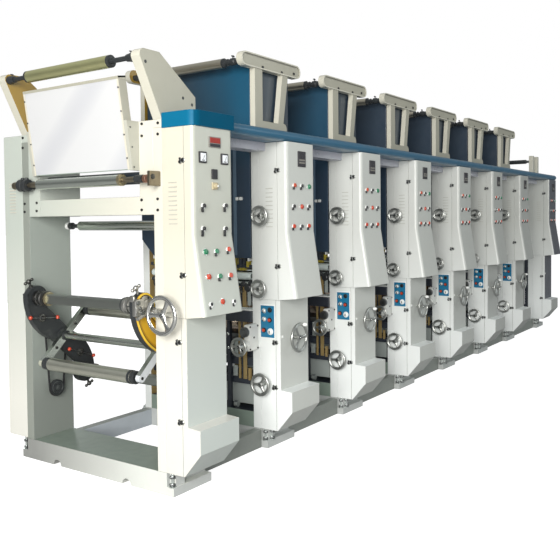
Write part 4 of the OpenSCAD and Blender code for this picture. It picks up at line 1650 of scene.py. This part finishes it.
@dataclass
class Turret:
    """Turning arms of the reel stand with two reel shafts and two guide rollers."""

    z: float = 0.853
    reach: float = 0.344
    angle: float = math.radians(126)
    inner: float = 0.48
    outer: float = 0.526

    def build(self) -> None:
        """Builds every piece of the turret."""
        self.arms()
        self.levers()
        self.tube()
        self.guides()
        self.shaft(1, "upper")
        self.shaft(-1, "lower")

    def end(self, sign: int) -> Vector:
        """Returns the place of a reel shaft in X and Z; 1 for the upper, -1 for the lower."""
        reach = sign * self.reach
        return Vector((reach * math.cos(self.angle), self.z + reach * math.sin(self.angle)))

    def guide(self, sign: int) -> tuple[float, float]:
        """Returns the place of a guide roller in X and Z."""
        return sign * -0.184, self.z + sign * -0.166

    def arms(self) -> None:
        """Builds the S-shaped arms; the operator's has a raised rim, painted brighter as a highlight, round its ochre
        face, with bands of painted shade inside the rim.
        """
        hub = Vector((0, self.z))
        shape = Shape("turret_side_arms").node(
            "turret_arms", BLACK,
            lambda p, n: ARM_OCHRE
            if to_front(n) and -0.54 < p.y < -0.52 and (Vector((p.x, p.z)) - hub).length > 0.02 else None,
            0.004,
        )
        outline = face_outline("turret_arms", -self.inner)
        # The operator's rim is brightened yellow, a painted highlight
        for s, rim in ((-1, RIM_YELLOW_HIGHLIGHT), (1, BLACK)):
            low, high = sorted((s * self.outer - s * 0.001, s * (self.outer + 0.006)))
            shape.band(inset(outline, 0.004), inset(outline, 0.012), "y", low, high, rim)
        # Two brown bands inside the rim: painted shade falling from the rim onto the face
        for depth, paint in ((0.012, ARM_BROWN_SHADE), (0.022, ARM_DUSK_SHADE)):
            edges = inset(outline, depth), inset(outline, depth + 0.01)
            shape.band(*edges, "y", -self.outer - 0.0006, -self.outer + 0.001, paint)
        shape.band(inset(outline, 0.004), inset(outline, 0.009), "y", self.inner - 0.002, self.inner + 0.001, BLACK)
        for s in BOTH:
            shape.turned((0, s * self.outer, self.z), (0, s, 0), mm(0, 58, 6, 58, 9, 52, 10, 34), BLACK, 36)
            shape.turned((0, s * self.inner, self.z), (0, -s, 0), mm(0, 46, 8, 46, 11, 38), BLACK, 36)
        for sign in (1, -1):
            self.clamp(shape, sign)
        shape.fit("turret", ["turret_arms"])

    def clamp(self, shape: Shape, sign: int) -> None:
        """Adds the hinged clamps that hold one reel shaft.

        Args:
            shape: The piece.
            sign: 1 for the upper shaft, -1 for the lower.
        """
        place = self.end(sign)
        x, z = place
        for s, finish in ((-1, NICKEL), (1, BLACK)):
            face = s * self.outer
            rise = mm(10, 66, 14, 58, 15, 44, 24, 44, 27, 36, 28, 0)
            if s > 0:
                rise = mm(4, 66, 6, 60, 7, 0)
            shape.turned((x, face, z), (0, s, 0), [(0, 0.066), *rise], finish, 40)
            for i in range(6 if s < 0 else 0):
                a = i * math.pi / 3 + 0.3
                shape.turned(
                    (x + 0.054 * math.cos(a), face + s * 0.01, z + 0.054 * math.sin(a)), (0, s, 0),
                    mm(0, 7.5, 8, 7.5, 9, 6), CASTING, 6,
                )
            way = Vector((-0.42 * sign, 0.91 * sign))
            tip = place + way * 0.125
            foot = place + way * 0.06
            end = foot + way * 0.03
            level = s * 0.505
            shape.rod((foot.x, level, foot.y), (end.x, level, end.y), 0.017, CASTING, 20)
            knob_screw(
                shape, (foot.x, level, foot.y), (tip.x, level, tip.y), NICKEL if s < 0 else CASTING, 1.35
            )
        # The operator's upper clamp carries a cluster of levers
        if sign > 0:
            shape.block((x - 0.105, -0.556, z - 0.052), (x - 0.03, -0.52, z + 0.052), NICKEL, 0.01)
            shape.turned((x - 0.112, -0.538, z + 0.058), AHEAD, mm(0, 20, 10, 20, 14, 14), NICKEL, 24)
            shape.turned((x + 0.02, -0.545, z - 0.002), AHEAD, mm(0, 20, 16, 22, 20, 16), STEEL, 24)
            shape.rod((x - 0.092, -0.552, z - 0.064), (x - 0.02, -0.552, z - 0.038), 0.013, NICKEL, 20)
            shape.rod((x - 0.004, -0.548, z - 0.034), (x + 0.052, -0.552, z - 0.02), 0.01, NICKEL, 18)
            shape.ball((x + 0.05, -0.55, z - 0.02), 0.015, NICKEL, 16)
            for dx, dz, r in mm(-85, 30, 13, -50, -30, 16, -70, 0, 9, step=3):
                shape.turned((x + dx, -0.556, z + dz), TO_OPERATOR, [(0, r), (0.007, r), (0.009, r * 0.6)], STEEL, 16)
        else:
            shape.block((x - 0.052, -0.548, z - 0.045), (x + 0.052, -0.52, z + 0.045), CASTING, 0.012)

    def levers(self) -> None:
        """Builds the crossed levers with red balls inside the drive side's arm."""
        shape = Shape("turret_brake_levers")
        level = self.inner
        for (x, z), *ends in (
            ((-0.171, 0.992), (-0.276, 1.004), (-0.053, 0.985)), ((0.154, 0.709), (0.046, 0.747), (0.265, 0.67))
        ):
            shape.turned(
                (x, level, z), TO_OPERATOR, mm(0, 30, 5, 30, 8, 25, 10, 14, 22, 13, 25, 9, 26, 0), CASTING, 30
            )
            shape.ring((x, level - 0.008, z), TO_OPERATOR, 0.0205, 0.0016, NICKEL, 30, 8)
            for ex, ez in ends:
                shape.rod((x, level - 0.016, z), (ex, level - 0.016, ez), 0.0042, STEEL, 14)
                shape.ball((ex, level - 0.016, ez), 0.0135, RED, 18)
        shape.fit("turret")

    def tube(self) -> None:
        """Builds the main tube and the short arms."""

        def rule(p: Vector, n: Vector) -> Optional[Finish]:
            """Silver tube; at the drive end the short arms are beige towards -X as painted light and dark grey
            elsewhere as painted shade.

            Args:
                p: Middle of the face.
                n: Its normal.

            Returns:
                The face's finish, or nothing for the piece's own.
            """
            if abs(p.y) < 0.43 or math.hypot(p.x, p.z - self.z) < 0.026:
                return SILVER
            if p.y > 0:
                # Painted light on faces towards -X, painted shade on the others
                return ARM_BEIGE_LIT if n.x < -0.5 else ARM_GREY
            return None

        shape = Shape("turret_main_tube").node("turret_tube", ARM_LIGHT, rule)
        for s in BOTH:
            x, z = self.guide(s)
            shape.turned((x, -0.4755, z), TO_OPERATOR, mm(0, 10, 2.5, 10, 3, 5), CASTING, 16)
            shape.turned((x, 0.4755, z), TO_DRIVE, mm(0, 22, 3, 22, 4, 0), SILVER, 24)
            shape.turned(
                (x * 0.45, 0.4425, self.z + (z - self.z) * 0.45), TO_OPERATOR, mm(0, 10, 6, 10, 7, 6), CASTING, 16
            )
        shape.turned((0, 0.43, self.z), TO_DRIVE, mm(0, 30, 2, 34, 16, 34, 18, 30), BLACK, 30)
        shape.fit("turret", ["turret_tube"])

    def guides(self) -> None:
        """Builds the guide rollers on the short arms."""
        shape = Shape("turret_web_rollers")
        for s in BOTH:
            x, z = self.guide(s)
            roller(shape, (x, z), 0.398, 0.042, 0.442, 0.014, ROLLER_A, BLACK)
            for e in BOTH:
                shape.turned(
                    (x, e * 0.376, z), (0, e, 0),
                    mm(0, 42, 1, 43.2, 20, 43.2, 22, 38, 30, 38, 32, 41, 52, 41, 55, 34), BLACK, 40,
                )
        shape.fit("turret", ["turret_guide_rollers"])

    def shaft(self, sign: int, name: str) -> None:
        """Builds one reel shaft, a bar with cut corners, and its chucks.

        Args:
            sign: 1 for the upper shaft, -1 for the lower.
            name: The shaft's name.
        """
        x, z = self.end(sign)
        shape = Shape(f"{name}_shaft_and_chucks")
        a, b = 0.032, 0.025
        outline = [(a, -b), (a, b), (b, a), (-b, a), (-a, b), (-a, -b), (-b, -a), (b, -a)]
        shape.prism([(x + u, z + v) for u, v in outline], "y", -0.373, 0.373, SHAFT_GREY, 0.0015)
        for s in BOTH:
            shape.turned(
                (x, s * 0.352, z), (0, s, 0), mm(0, 40, 3, 47, 14, 47, 17, 42, 20, 42), TAN_METAL if s > 0 else STEEL,
                40,
            )
            shape.turned(
                (x, s * 0.372, z), (0, s, 0),
                mm(0, 44, 3, 52, 20, 52, 24, 46, 30, 46, 34, 52, 46, 52, 50, 43, 74, 43, 78, 50, 102, 50, 105, 44),
                CASTING if s > 0 else NICKEL, 40,
            )
            for i in range(6):
                t = i * math.pi / 3
                px, pz = x + 0.048 * math.cos(t), z + 0.048 * math.sin(t)
                shape.rod((px, s * 0.424, pz), (px, s * 0.446, pz), 0.005, STEEL, 10)
        shape.fit(f"{name}_shaft", [f"{name}_reel_shaft"])


# ---------------------------------------------------------------- print units


@dataclass
class PrintUnits:
    """Six print units and the end frame."""

    bay: float = 0.511
    wall_out: float = 0.58
    cover: float = 0.586
    panel: Panel = Panel(-0.82)
    arm_z: float = 2.777

    def build(self) -> None:
        """Builds every piece of the units."""
        self.frames()
        self.cabinets()
        self.plates()
        self.panels()
        self.top()
        self.hoods()
        self.brackets()
        self.web_rollers()
        self.inside()
        self.inking()
        self.cylinders()
        self.gearboxes()
        self.wheels()
        self.drive_side()
        self.fasteners()

    def frames(self) -> None:
        """Builds the feet, rails, walls and decks."""
        shape = Shape("unit_floor_feet").node(
            "unit_feet", FOOT, lambda p, n: BASE_GREEN if to_top(n) and p.z > 0.1 and abs(p.y) < 0.5 else None
        )
        for x in COLUMNS:
            for side in Side:
                for along in (-0.161, -0.118):
                    levelling_bolt(shape, x + along, side.value * (0.607 if along < -0.15 else 0.632))
        shape.fit(stands_for=["unit_feet"])
        dress(
            "line_base_rails", "base_rails", RAIL_GREY, lambda p, n: RAIL_INNER if to_front(n) and p.y > 0 else None
        )
        dress("unit_side_walls", "unit_walls", WHITE, lambda p, n: WALL_OCHRE if to_front(n) and p.y > 0 else None)
        dress("unit_floor_decks", "unit_decks", DECK, lambda p, n: NAVY if to_top(n) else None)

    def front_rule(self, p: Vector, n: Vector) -> Optional[Finish]:
        """Shaded copy of the white, a painted shade, on what looks to the operator; dark on the end frame.

        Args:
            p: Middle of the face.
            n: Its normal.

        Returns:
            The face's finish, or nothing for the piece's own.
        """
        if not to_front(n):
            return None
        return DARK_PANEL if p.x > PAST_UNITS and p.z > 0.5 else WHITE_FRONT_SHADE

    def cabinets(self) -> None:
        """Builds the lower cabinets with their doors and latches."""
        shape = Shape("unit_lower_cabinets")
        for x in COLUMNS:
            lower_cabinet(shape, -self.wall_out, -0.714, WHITE, x, self.front_rule)
            shape.at(x, 0, 0)
            for y, z in mm(-708, 769, -703, 447):
                latch(shape, FRONT_X, y, z)
            shape.turned((-0.149, -0.753, 0.815), TO_OPERATOR, mm(0, 10, 5, 10, 7, 0), PALE, 18)
            shape.at(0, 0, 0)
        shape.fit(stands_for=["lower_cabinets"])

    def plates(self) -> None:
        """Builds the blue control plates with their knobs."""
        shape = Shape("unit_control_plates")
        spots = (
            (-0.617, 0.995, CHROME, PALE), (-0.666, 1.002, KNOB, KNOB), (-0.617, 0.934, CHROME, PALE),
            (-0.665, 0.93, KNOB, RED), (-0.614, 0.855, KNOB, RED), (-0.67, 0.848, PALE, PALE),
        )
        for _ in shape.each(UNIT_X, FRONT_X):
            shape.block((-0.0015, -0.709, 0.8), (0.001, -0.581, 1.042), PALE, 0.0005)
            shape.block((-0.003, -0.702, 0.804), (0.001, -0.585, 1.032), PLATE_BLUE, 0.0008)
            for y, z, ring, cap in spots:
                wide = 0.024 if ring is PALE else 0.0185
                shape.turned((-0.003, y, z), AHEAD, [(0, wide), (0.004, wide), (0.007, wide * 0.86)], ring, 24)
                shape.turned((-0.003, y, z), AHEAD, [
                    (0.005, wide * 0.64), (0.013, wide * 0.64), (0.016, wide * 0.5), (0.017, 0.0),
                ], cap, 24)
                if cap is PALE:
                    shape.block((-0.0215, y - 0.004, z - 0.013), (-0.012, y + 0.004, z + 0.008), KNOB, 0.0015)
        shape.fit()

    def panels(self) -> None:
        """Builds the panel boxes and their switches."""
        shape = Shape("unit_panel_boxes")
        for x in COLUMNS:
            panel_housing(shape, -self.wall_out, -0.737, self.panel, WHITE, x, self.front_rule)
            shape.at(x, 0, 0)
            for y, z in mm(-738, 1987, -738, 1311):
                latch(shape, FRONT_X, y, z)
            shape.at(0, 0, 0)
        shape.fit(stands_for=["panel_boxes"])
        rows = (
            (1.882, (-0.084, ORANGE, 1), (0.013, KNOB, 1), (0.11, GREEN, 0)),
            (1.736, (-0.094, KNOB, 1), (0.009, RED, 0), (0.105, KNOB, 1)),
            (1.593, (-0.096, RED, 1), (0.006, KNOB, 1), (0.102, RED, 1)),
        )
        for i, x in enumerate(COLUMNS, 1):
            shape = Shape(f"panel_{i}_switches").at(x, 0, 0)
            p = self.panel
            p.plate(shape, (-0.033, 2.02), (0.065, 2.131), 0.008, SCREEN, 0.003)
            for z in (2.108, 2.089, 2.062, 2.043):
                p.plate(shape, (-0.022, z), (0.054, z + 0.012), 0.009, SCREEN_GREY if z < 2.08 else SCREEN, 0.001)
            for z, *caps in rows:
                for along, cap, turning in caps:
                    if turning:
                        p.selector(shape, along, z, cap)
                    else:
                        p.button(shape, along, z, cap, 0.0165)
            shape.fit()

    def top(self) -> None:
        """Builds the cable troughs and the blue rail."""
        dress("line_cable_troughs", "cable_troughs", TROUGH)
        dress("line_blue_rail", "top_rail", BLUE, lambda p, n: NAVY if p.x > 8.05 else None, 0.0)

    def hoods(self) -> None:
        """Builds the dryer hoods with seams, ribs painted lighter as light streaks, and door handles."""
        # Faces to the operator, to +X and up take the shaded blue, a painted shade
        shape = Shape("unit_dryer_hoods").node(
            "dryer_hoods", HOOD, lambda p, n: HOOD_SHADE if n.y < -0.6 or n.x > 0.6 or to_top(n) else None, 0.004
        )
        for _ in shape.each(UNIT_X):
            shape.block((-0.17, -0.5105, 2.372), (0.316, -0.505, 2.376), NAVY, 0.0)
            # Ribs in a lighter blue: painted highlight streaks
            for y in (-0.372, 0.05, 0.4):
                shape.block((-0.1885, y - 0.015, 1.39), (-0.184, y + 0.015, 2.19), HOOD_LIGHT_STREAK, 0.002)
            for y in (-0.398, -0.432):
                shape.block((-0.203, y - 0.011, 1.788), (-0.184, y + 0.011, 1.812), PALE, 0.004)
            shape.block((-0.197, -0.438, 1.795), (-0.19, -0.392, 1.805), STEEL, 0.002)
        shape.fit(stands_for=["dryer_hoods"])

    def brackets(self) -> None:
        """Builds the top brackets, whose arms have a raised rim, and the end posts."""
        # Faces to the operator take the shaded beige, a painted shade
        shape = Shape("unit_top_brackets").node(
            "top_brackets", BEIGE,
            lambda p, n: (FAN_OCHRE if p.y > 0 else BEIGE_FRONT_SHADE) if to_front(n) else None, 0.005,
        )
        r, x0, x1 = 0.0495, -0.3, 0.352
        turns = [math.pi * (0.5 + i / 12) for i in range(13)]
        arm = [(x0 + r * math.cos(a), self.arm_z + r * math.sin(a)) for a in turns]
        arm += [(x1 - r * math.cos(a), self.arm_z - r * math.sin(a)) for a in turns]
        for _ in shape.each(UNIT_X):
            for s in BOTH:
                low, high = sorted((s * 0.565, s * 0.574))
                shape.band(arm, inset(arm, 0.009), "y", low, high, BEIGE)
                low, high = sorted((s * 0.565, s * 0.5685))
                shape.band(inset(arm, 0.009), inset(arm, 0.011), "y", low, high, BEIGE_SHADE)
                shape.block(
                    (x0 + 0.004, low, self.arm_z + 0.031), (x1 - 0.006, high, self.arm_z + 0.0395), BEIGE_SHADE, 0.0
                )
        shape.fit(stands_for=["top_brackets"])
        dress("end_frame_posts", "end_posts", BEIGE, None, 0.004)

    def web_rollers(self) -> None:
        """Builds the rollers above the hoods with their clamping ends."""
        shape = Shape("unit_web_rollers")
        z = self.arm_z - 0.012
        clamp = mm(
            0, 34, 1, 34.8, 14, 34.8, 18, 28, 26, 18, 34, 18, 38, 26, 48, 26, 52, 17, 68, 16, 74, 27, 106, 27, 112,
            22, 157, 22,
        )
        for _ in shape.each(UNIT_X, -0.294):
            roller(shape, (0, z), 0.37, 0.034, 0.522, 0.013, TAUPE_ROLLER, BLACK)
            for s in BOTH:
                shape.turned((0, s * 0.364, z), (0, s, 0), clamp, BLACK, 30)
                knob_screw(shape, (0, s * 0.452, z + 0.02), (0, s * 0.452, z + 0.04), BLACK, 0.6)
        shape.at(END_X - 0.12, 0, 0)
        roller(shape, (0, 2.47), 0.47, 0.03, 0.516, 0.018, BLACK, STEEL)
        shape.fit(stands_for=["web_rollers"])

    def inside(self) -> None:
        """Builds the guide and impression rollers and the small parts above them."""
        shape = Shape("unit_guide_rollers")
        for _ in shape.each(UNIT_X):
            # The front roller's pale finish is a painted reflection of chrome
            roller(shape, (-0.145, 1.236), 0.49, 0.028, self.bay, 0.014, BRIGHT_ROLLER, STEEL)
            roller(shape, (0.08, 1.19), 0.49, 0.028, self.bay, 0.014, SILVER, STEEL)
            shape.rod((-0.151, -self.bay, 1.186), (-0.151, self.bay, 1.186), 0.007, CHROME)
            shape.rod((-0.165, -self.bay, 1.0), (-0.165, self.bay, 1.0), 0.008, CHROME)
        shape.fit(stands_for=["guide_rollers"])
        shape = Shape("unit_impression_rollers")
        for _ in shape.each(UNIT_X):
            roller(shape, (0, 1.12), 0.471, 0.052, self.bay, 0.024, RUBBER, STEEL)
        shape.fit(stands_for=["impression_rollers"])
        posts = (
            (0.372, 0.02, 0.475, 1.16, WALL_OCHRE), (0.42, 0.034, 0.475, 1.16, WALL_OCHRE),
            (0.34, 0.034, 0.64, 0.76, TANK), (0.396, 0.008, 0.475, 1.16, NAVY),
            (0.33, 0.04, 0.49, 0.57, TANK), (0.465, 0.03, 1.02, 1.13, TANK),
        )
        fittings = (
            (0.352, 0.018, 1.275, 1.372, YELLOW), (0.412, 0.05, 1.276, 1.296, YELLOW),
            (0.396, 0.026, 1.3, 1.362, NAVY), (0.462, 0.02, 1.3, 1.345, YELLOW),
            (0.47, 0.012, 1.345, 1.372, PALE), (0.436, 0.018, 1.31, 1.38, BLACK),
            (0.31, 0.03, 1.29, 1.35, NAVY),
        )
        shape = Shape("unit_web_guides")
        for _ in shape.each(UNIT_X):
            shape.block((-0.16, -self.bay, 1.292), (-0.136, self.bay, 1.318), NAVY, 0.002)
            shape.block((-0.172, -self.bay, 0.985), (-0.16, self.bay, 0.995), PALE, 0.001)
            for s in BOTH:
                shape.strips(s, -0.152, -0.146, posts, 0.0015)
            for s in BOTH:
                shape.strips(s, -0.166, -0.13, fittings, 0.002)
                for y, z, r in mm(418, 1178, 22, 455, 1150, 30, 395, 1140, 16, 480, 1185, 20, step=3):
                    shape.turned(
                        (-0.11, s * y, z), AHEAD, [(0, r), (0.05, r), (0.056, r * 0.8), (0.06, r * 0.5)], BLACK, 22
                    )
                shape.block((-0.15, s * 0.44 - 0.045, 1.09), (-0.1, s * 0.44 + 0.045, 1.14), BLACK, 0.006)
                shape.turned((-0.155, s * 0.404, 1.12), AHEAD, mm(0, 10, 12, 10, 14, 0), STEEL, 14)
        shape.fit()

    def inking(self) -> None:
        """Builds trays, tanks, bars, posts and doctor blades."""
        for node, finish, edge in (
            ("ink_trays", NAVY, 0.004), ("ink_tanks", TANK, 0.004), ("frame_bars", NAVY, 0.002),
            ("frame_posts", NAVY, 0.002), ("doctor_blades", NAVY, 0.0015),
        ):
            shape = Shape(f"unit_{node}").node(node, finish, lambda p, n: ARM_GREY if to_top(n) else None, edge)
            if node == "frame_posts":
                for _ in shape.each(UNIT_X):
                    for y in (-0.462, 0.462):
                        shape.block((-0.158, y - 0.01, 0.47), (-0.134, y + 0.01, 0.56), WALL_OCHRE, 0.003)
                    for z in (0.7, 0.8):
                        for y in (-0.285, 0.285):
                            shape.turned((-0.173, y, z), AHEAD, mm(0, 9, 1.5, 9, 2, 6), CHROME, 12)
            shape.fit(stands_for=[node])
        shape = Shape("end_frame_bars").at(END_X, 0, 0)
        posts = (
            (0.48, 0.05, 0.3, 1.06, NAVY), (0.425, 0.04, 0.3, 0.7, BLACK),
            (0.38, 0.03, 0.3, 1.06, CASTING), (0.44, 0.02, 0.72, 1.0, TANK),
            (0.33, 0.05, 0.3, 0.9, NAVY),
        )
        for s in BOTH:
            shape.strips(s, -0.15, -0.12, posts, 0.002)
        for z in (0.3, 0.7, 1.02):
            shape.block((-0.155, -self.bay, z), (-0.125, self.bay, z + 0.04), NAVY, 0.002)
        shape.fit()

    def cylinders(self) -> None:
        """Builds the print cylinders."""
        for i, x in enumerate(UNIT_X, 1):
            shape = Shape(f"engraved_cylinder_{i}").at(x, 0, 0)
            roller(shape, (0, 0.878), 0.44, 0.1, 0.509, 0.028, ENGRAVED, STEEL)
            shape.fit(f"cylinder_{i}", [f"print_cylinder_{i}"])

    def gearboxes(self) -> None:
        """Builds the register gearboxes with their grooved flanges."""
        shape = Shape("register_gear_housings")
        for _ in shape.each(UNIT_X, FRONT_X):
            shape.block((-0.119, -0.565, 0.71), (0, -0.515, 0.9), GEARBOX, 0.012)
            grooves = [(0, 0.036)]
            for i in range(4):
                a = 0.003 + i * 0.005
                grooves += [(a, 0.036), (a + 0.001, 0.032), (a + 0.0025, 0.032), (a + 0.0035, 0.036)]
            grooves += mm(24, 34, 25, 22, 31, 20, 32, 0)
            shape.turned((-0.117, -0.532, 0.848), AHEAD, grooves, STEEL, 36)
            shape.turned((-0.117, -0.54, 0.755), AHEAD, mm(0, 34, 24, 34, 30, 26, 32.5, 20), GEARBOX, 32)
            for along, z in mm(-105, 885, -14, 885, -105, 725, -14, 725, -60, 805):
                shape.turned((along, -0.565, z), TO_OPERATOR, mm(0, 7, 3, 7, 4, 4), BOLT, 12)
        shape.fit(stands_for=["register_gearboxes"])

    def wheels(self) -> None:
        """Builds the handwheels."""
        shape = Shape("unit_side_handwheels")
        for _ in shape.each(UNIT_X, FRONT_X):
            for y, z, d in mm(-622, 1674, 145, -606, 1155, 135, -614, 470, 165, step=3):
                Handwheel(d).add(shape, (0, y, z), AHEAD)
            Handwheel(0.14).add(shape, (-0.15, -0.54, 0.755), AHEAD)
        shape.fit(stands_for=["side_handwheels"])
        for i, x in enumerate(UNIT_X, 1):
            shape = Shape(f"front_handwheel_{i}")
            Handwheel(0.216, 0.062, crank=True).add(shape, (x - 0.025, -0.754, 0.797), TO_OPERATOR)
            shape.fit(f"wheel_{i}", [f"handwheel_{i}"])

    def drive_side(self) -> None:
        """Builds the gear casings and the cover plates of the drive side."""
        shape = Shape("unit_gear_casings").node("drive_casings", WHITE, None, 0.008)
        for _ in shape.each(UNIT_X):
            shape.block((0.084, 0.6665, 0.58), (0.166, 0.6735, 1.22), WHITE, 0.0015)
        shape.fit(stands_for=["drive_casings"])
        shape = Shape("unit_drive_covers")
        for x in COLUMNS:
            shape.at(x, 0, 0)
            for z0, z1 in mm(200, 520, 1290, 2150):
                shape.block((-0.15, 0.578, z0), (0.15, self.cover, z1), WHITE, 0.002)
            if x < PAST_UNITS:
                shape.block((-0.15, 0.578, 0.58), (0.05, self.cover, 1.23), WHITE, 0.002)
                shape.turned((-0.05, 0.585, 0.878), TO_DRIVE, mm(0, 85, 12, 85, 18, 76, 20, 30, 24, 26), FOOT, 44)
        shape.fit()

    def fasteners(self) -> None:
        """Builds the screws and louvres of the units."""
        screws = Repeater(Form.SCREW, 0.0105, 0.006, BOLT, KNOB)
        small = Repeater(Form.SCREW, 0.006, 0.004, STEEL, KNOB)
        slots = Repeater(Form.LOUVRE, 0.062, 0.0035, WHITE, SLOT_GREY)
        for x in UNIT_X:
            for along, z in mm(-95, 2744, 150, 2744, 315, 2760):
                for side in Side:
                    screws.put((x + along, side.value * 0.566, z), (0, side.value, 0))
            for along in (-0.135, 0.035):
                for z in (0.6, 1.21):
                    small.put((x + along, self.cover, z), TO_DRIVE)
        for x in COLUMNS:
            for i in range(10):
                slots.put((x + FRONT_X, -0.668, 1.595 + i * 0.03), AHEAD)
                slots.put((x, self.cover, 1.7 + i * 0.03), TO_DRIVE)
            for along in (-0.135, 0.135):
                for z in (0.215, 0.505, 1.31, 2.13):
                    small.put((x + along, self.cover, z), TO_DRIVE)
        screws.fit("unit_frame_screws")
        small.fit("unit_cover_screws")
        slots.fit("unit_louvres")


# ---------------------------------------------------------------- studio


@dataclass(frozen=True)
class Studio:
    """Camera, pale floor and soft light."""

    place: Point = (-3.40114, -3.68714, 1.64217)
    ahead: Point = (0.81801897, 0.57428387, -0.03229565)
    right: Point = (0.57426375, -0.81859884, -0.01082098)
    lens: float = 47.623
    sensor: float = 36.0
    shift: tuple[float, float] = (0.0196, -0.0642)

    def build(self) -> None:
        """Builds the studio."""
        self.camera()
        self.floor()
        self.world()
        self.lamp("key", (-7.8, -4.8, 3.2), (1.5, -0.5, 1.2), 4.4, 1300.0, (1.0, 0.985, 0.955))
        self.lamp("back", (5.0, 9.5, 1.3), (4.0, 0.6, 1.3), 4.0, 330.0, (0.97, 1.0, 1.0))
        self.lamp("fill", (8.0, -8.5, 4.5), (5.5, -0.5, 1.2), 5.0, 180.0, (0.93, 1.0, 1.0))
        bpy.context.scene.view_settings.view_transform = "Standard"

    def camera(self) -> None:
        """Places the camera."""
        data = bpy.data.cameras.new("view")
        data.sensor_width, data.lens = self.sensor, self.lens
        data.shift_x, data.shift_y = self.shift
        data.clip_end = 100.0
        camera = new_object("view", data)
        ahead, right = Vector(self.ahead), Vector(self.right)
        up = right.cross(ahead)
        camera.matrix_world = Matrix((
            (right.x, up.x, -ahead.x, self.place[0]), (right.y, up.y, -ahead.y, self.place[1]),
            (right.z, up.z, -ahead.z, self.place[2]), (0, 0, 0, 1),
        ))
        bpy.context.scene.camera = camera

    def floor(self) -> None:
        """Builds the plain pale floor, which lights the machine less than it shines to the eye."""
        mesh = bpy.data.meshes.new("studio_floor")
        mesh.from_pydata([(-60, -60, 0), (80, -60, 0), (80, 80, 0), (-60, 80, 0)], [], [(0, 1, 2, 3)])
        w = Wiring("studio_floor")
        seen = w.node("ShaderNodeLightPath").outputs["Is Camera Ray"]
        w.put(
            Base_Color=(0.5, 0.5, 0.5, 1.0), Roughness=0.9, Specular_IOR_Level=0.1,
            Emission_Color=(1.0, 1.0, 1.0, 1.0), Emission_Strength=w.times(seen, 0.85),
        )
        w.material.cycles.emission_sampling = "NONE"
        mesh.materials.append(w.material)
        floor = new_object("studio_floor", mesh)

    def world(self) -> None:
        """Lights the room evenly from above, with a white backdrop."""
        world = bpy.data.worlds.new("room")
        world.use_nodes = True
        world.node_tree.nodes.clear()
        new = partial(add_node, world.node_tree)
        spot = new("ShaderNodeTexCoord").outputs["Generated"]
        height = new("ShaderNodeSeparateXYZ", {0: spot}).outputs[2]
        limits = {"From Min": 0.0, "From Max": 0.9, "To Min": 0.16, "To Max": 0.5}
        rise = new("ShaderNodeMapRange", {0: height, **limits}).outputs[0]
        light = new("ShaderNodeBackground", {0: (0.97, 1.0, 1.0, 1), 1: rise}).outputs[0]
        seen = new("ShaderNodeBackground", {0: (1, 1, 1, 1)}).outputs[0]
        path = new("ShaderNodeLightPath").outputs["Is Camera Ray"]
        mix = new("ShaderNodeMixShader", {0: path, 1: light, 2: seen}).outputs[0]
        new("ShaderNodeOutputWorld", {0: mix})
        bpy.context.scene.world = world

    def lamp(self, name: str, place: Point, target: Point, size: float, power: float, colour: Colour) -> None:
        """Hangs one soft light.

        Args:
            name: Its name.
            place: Where it hangs.
            target: Where it points.
            size: Width of the square light.
            power: Its power in watts.
            colour: Its tint.
        """
        data = bpy.data.lights.new(name, "AREA")
        data.size, data.energy, data.color = size, power, colour
        lamp = new_object(name, data)
        away = Vector(place) - Vector(target)
        lamp.matrix_world = Matrix.Translation(Vector(place)) @ away.to_track_quat("Z", "Y").to_matrix().to_4x4()


def main() -> None:
    """Builds the whole machine and its studio."""
    logging.basicConfig(level=logging.INFO, format="%(name)s %(message)s")
    Studio().build()
    ReelStand().build()
    Turret().build()
    PrintUnits().build()
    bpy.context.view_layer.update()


if __name__ == "__main__":
    main()
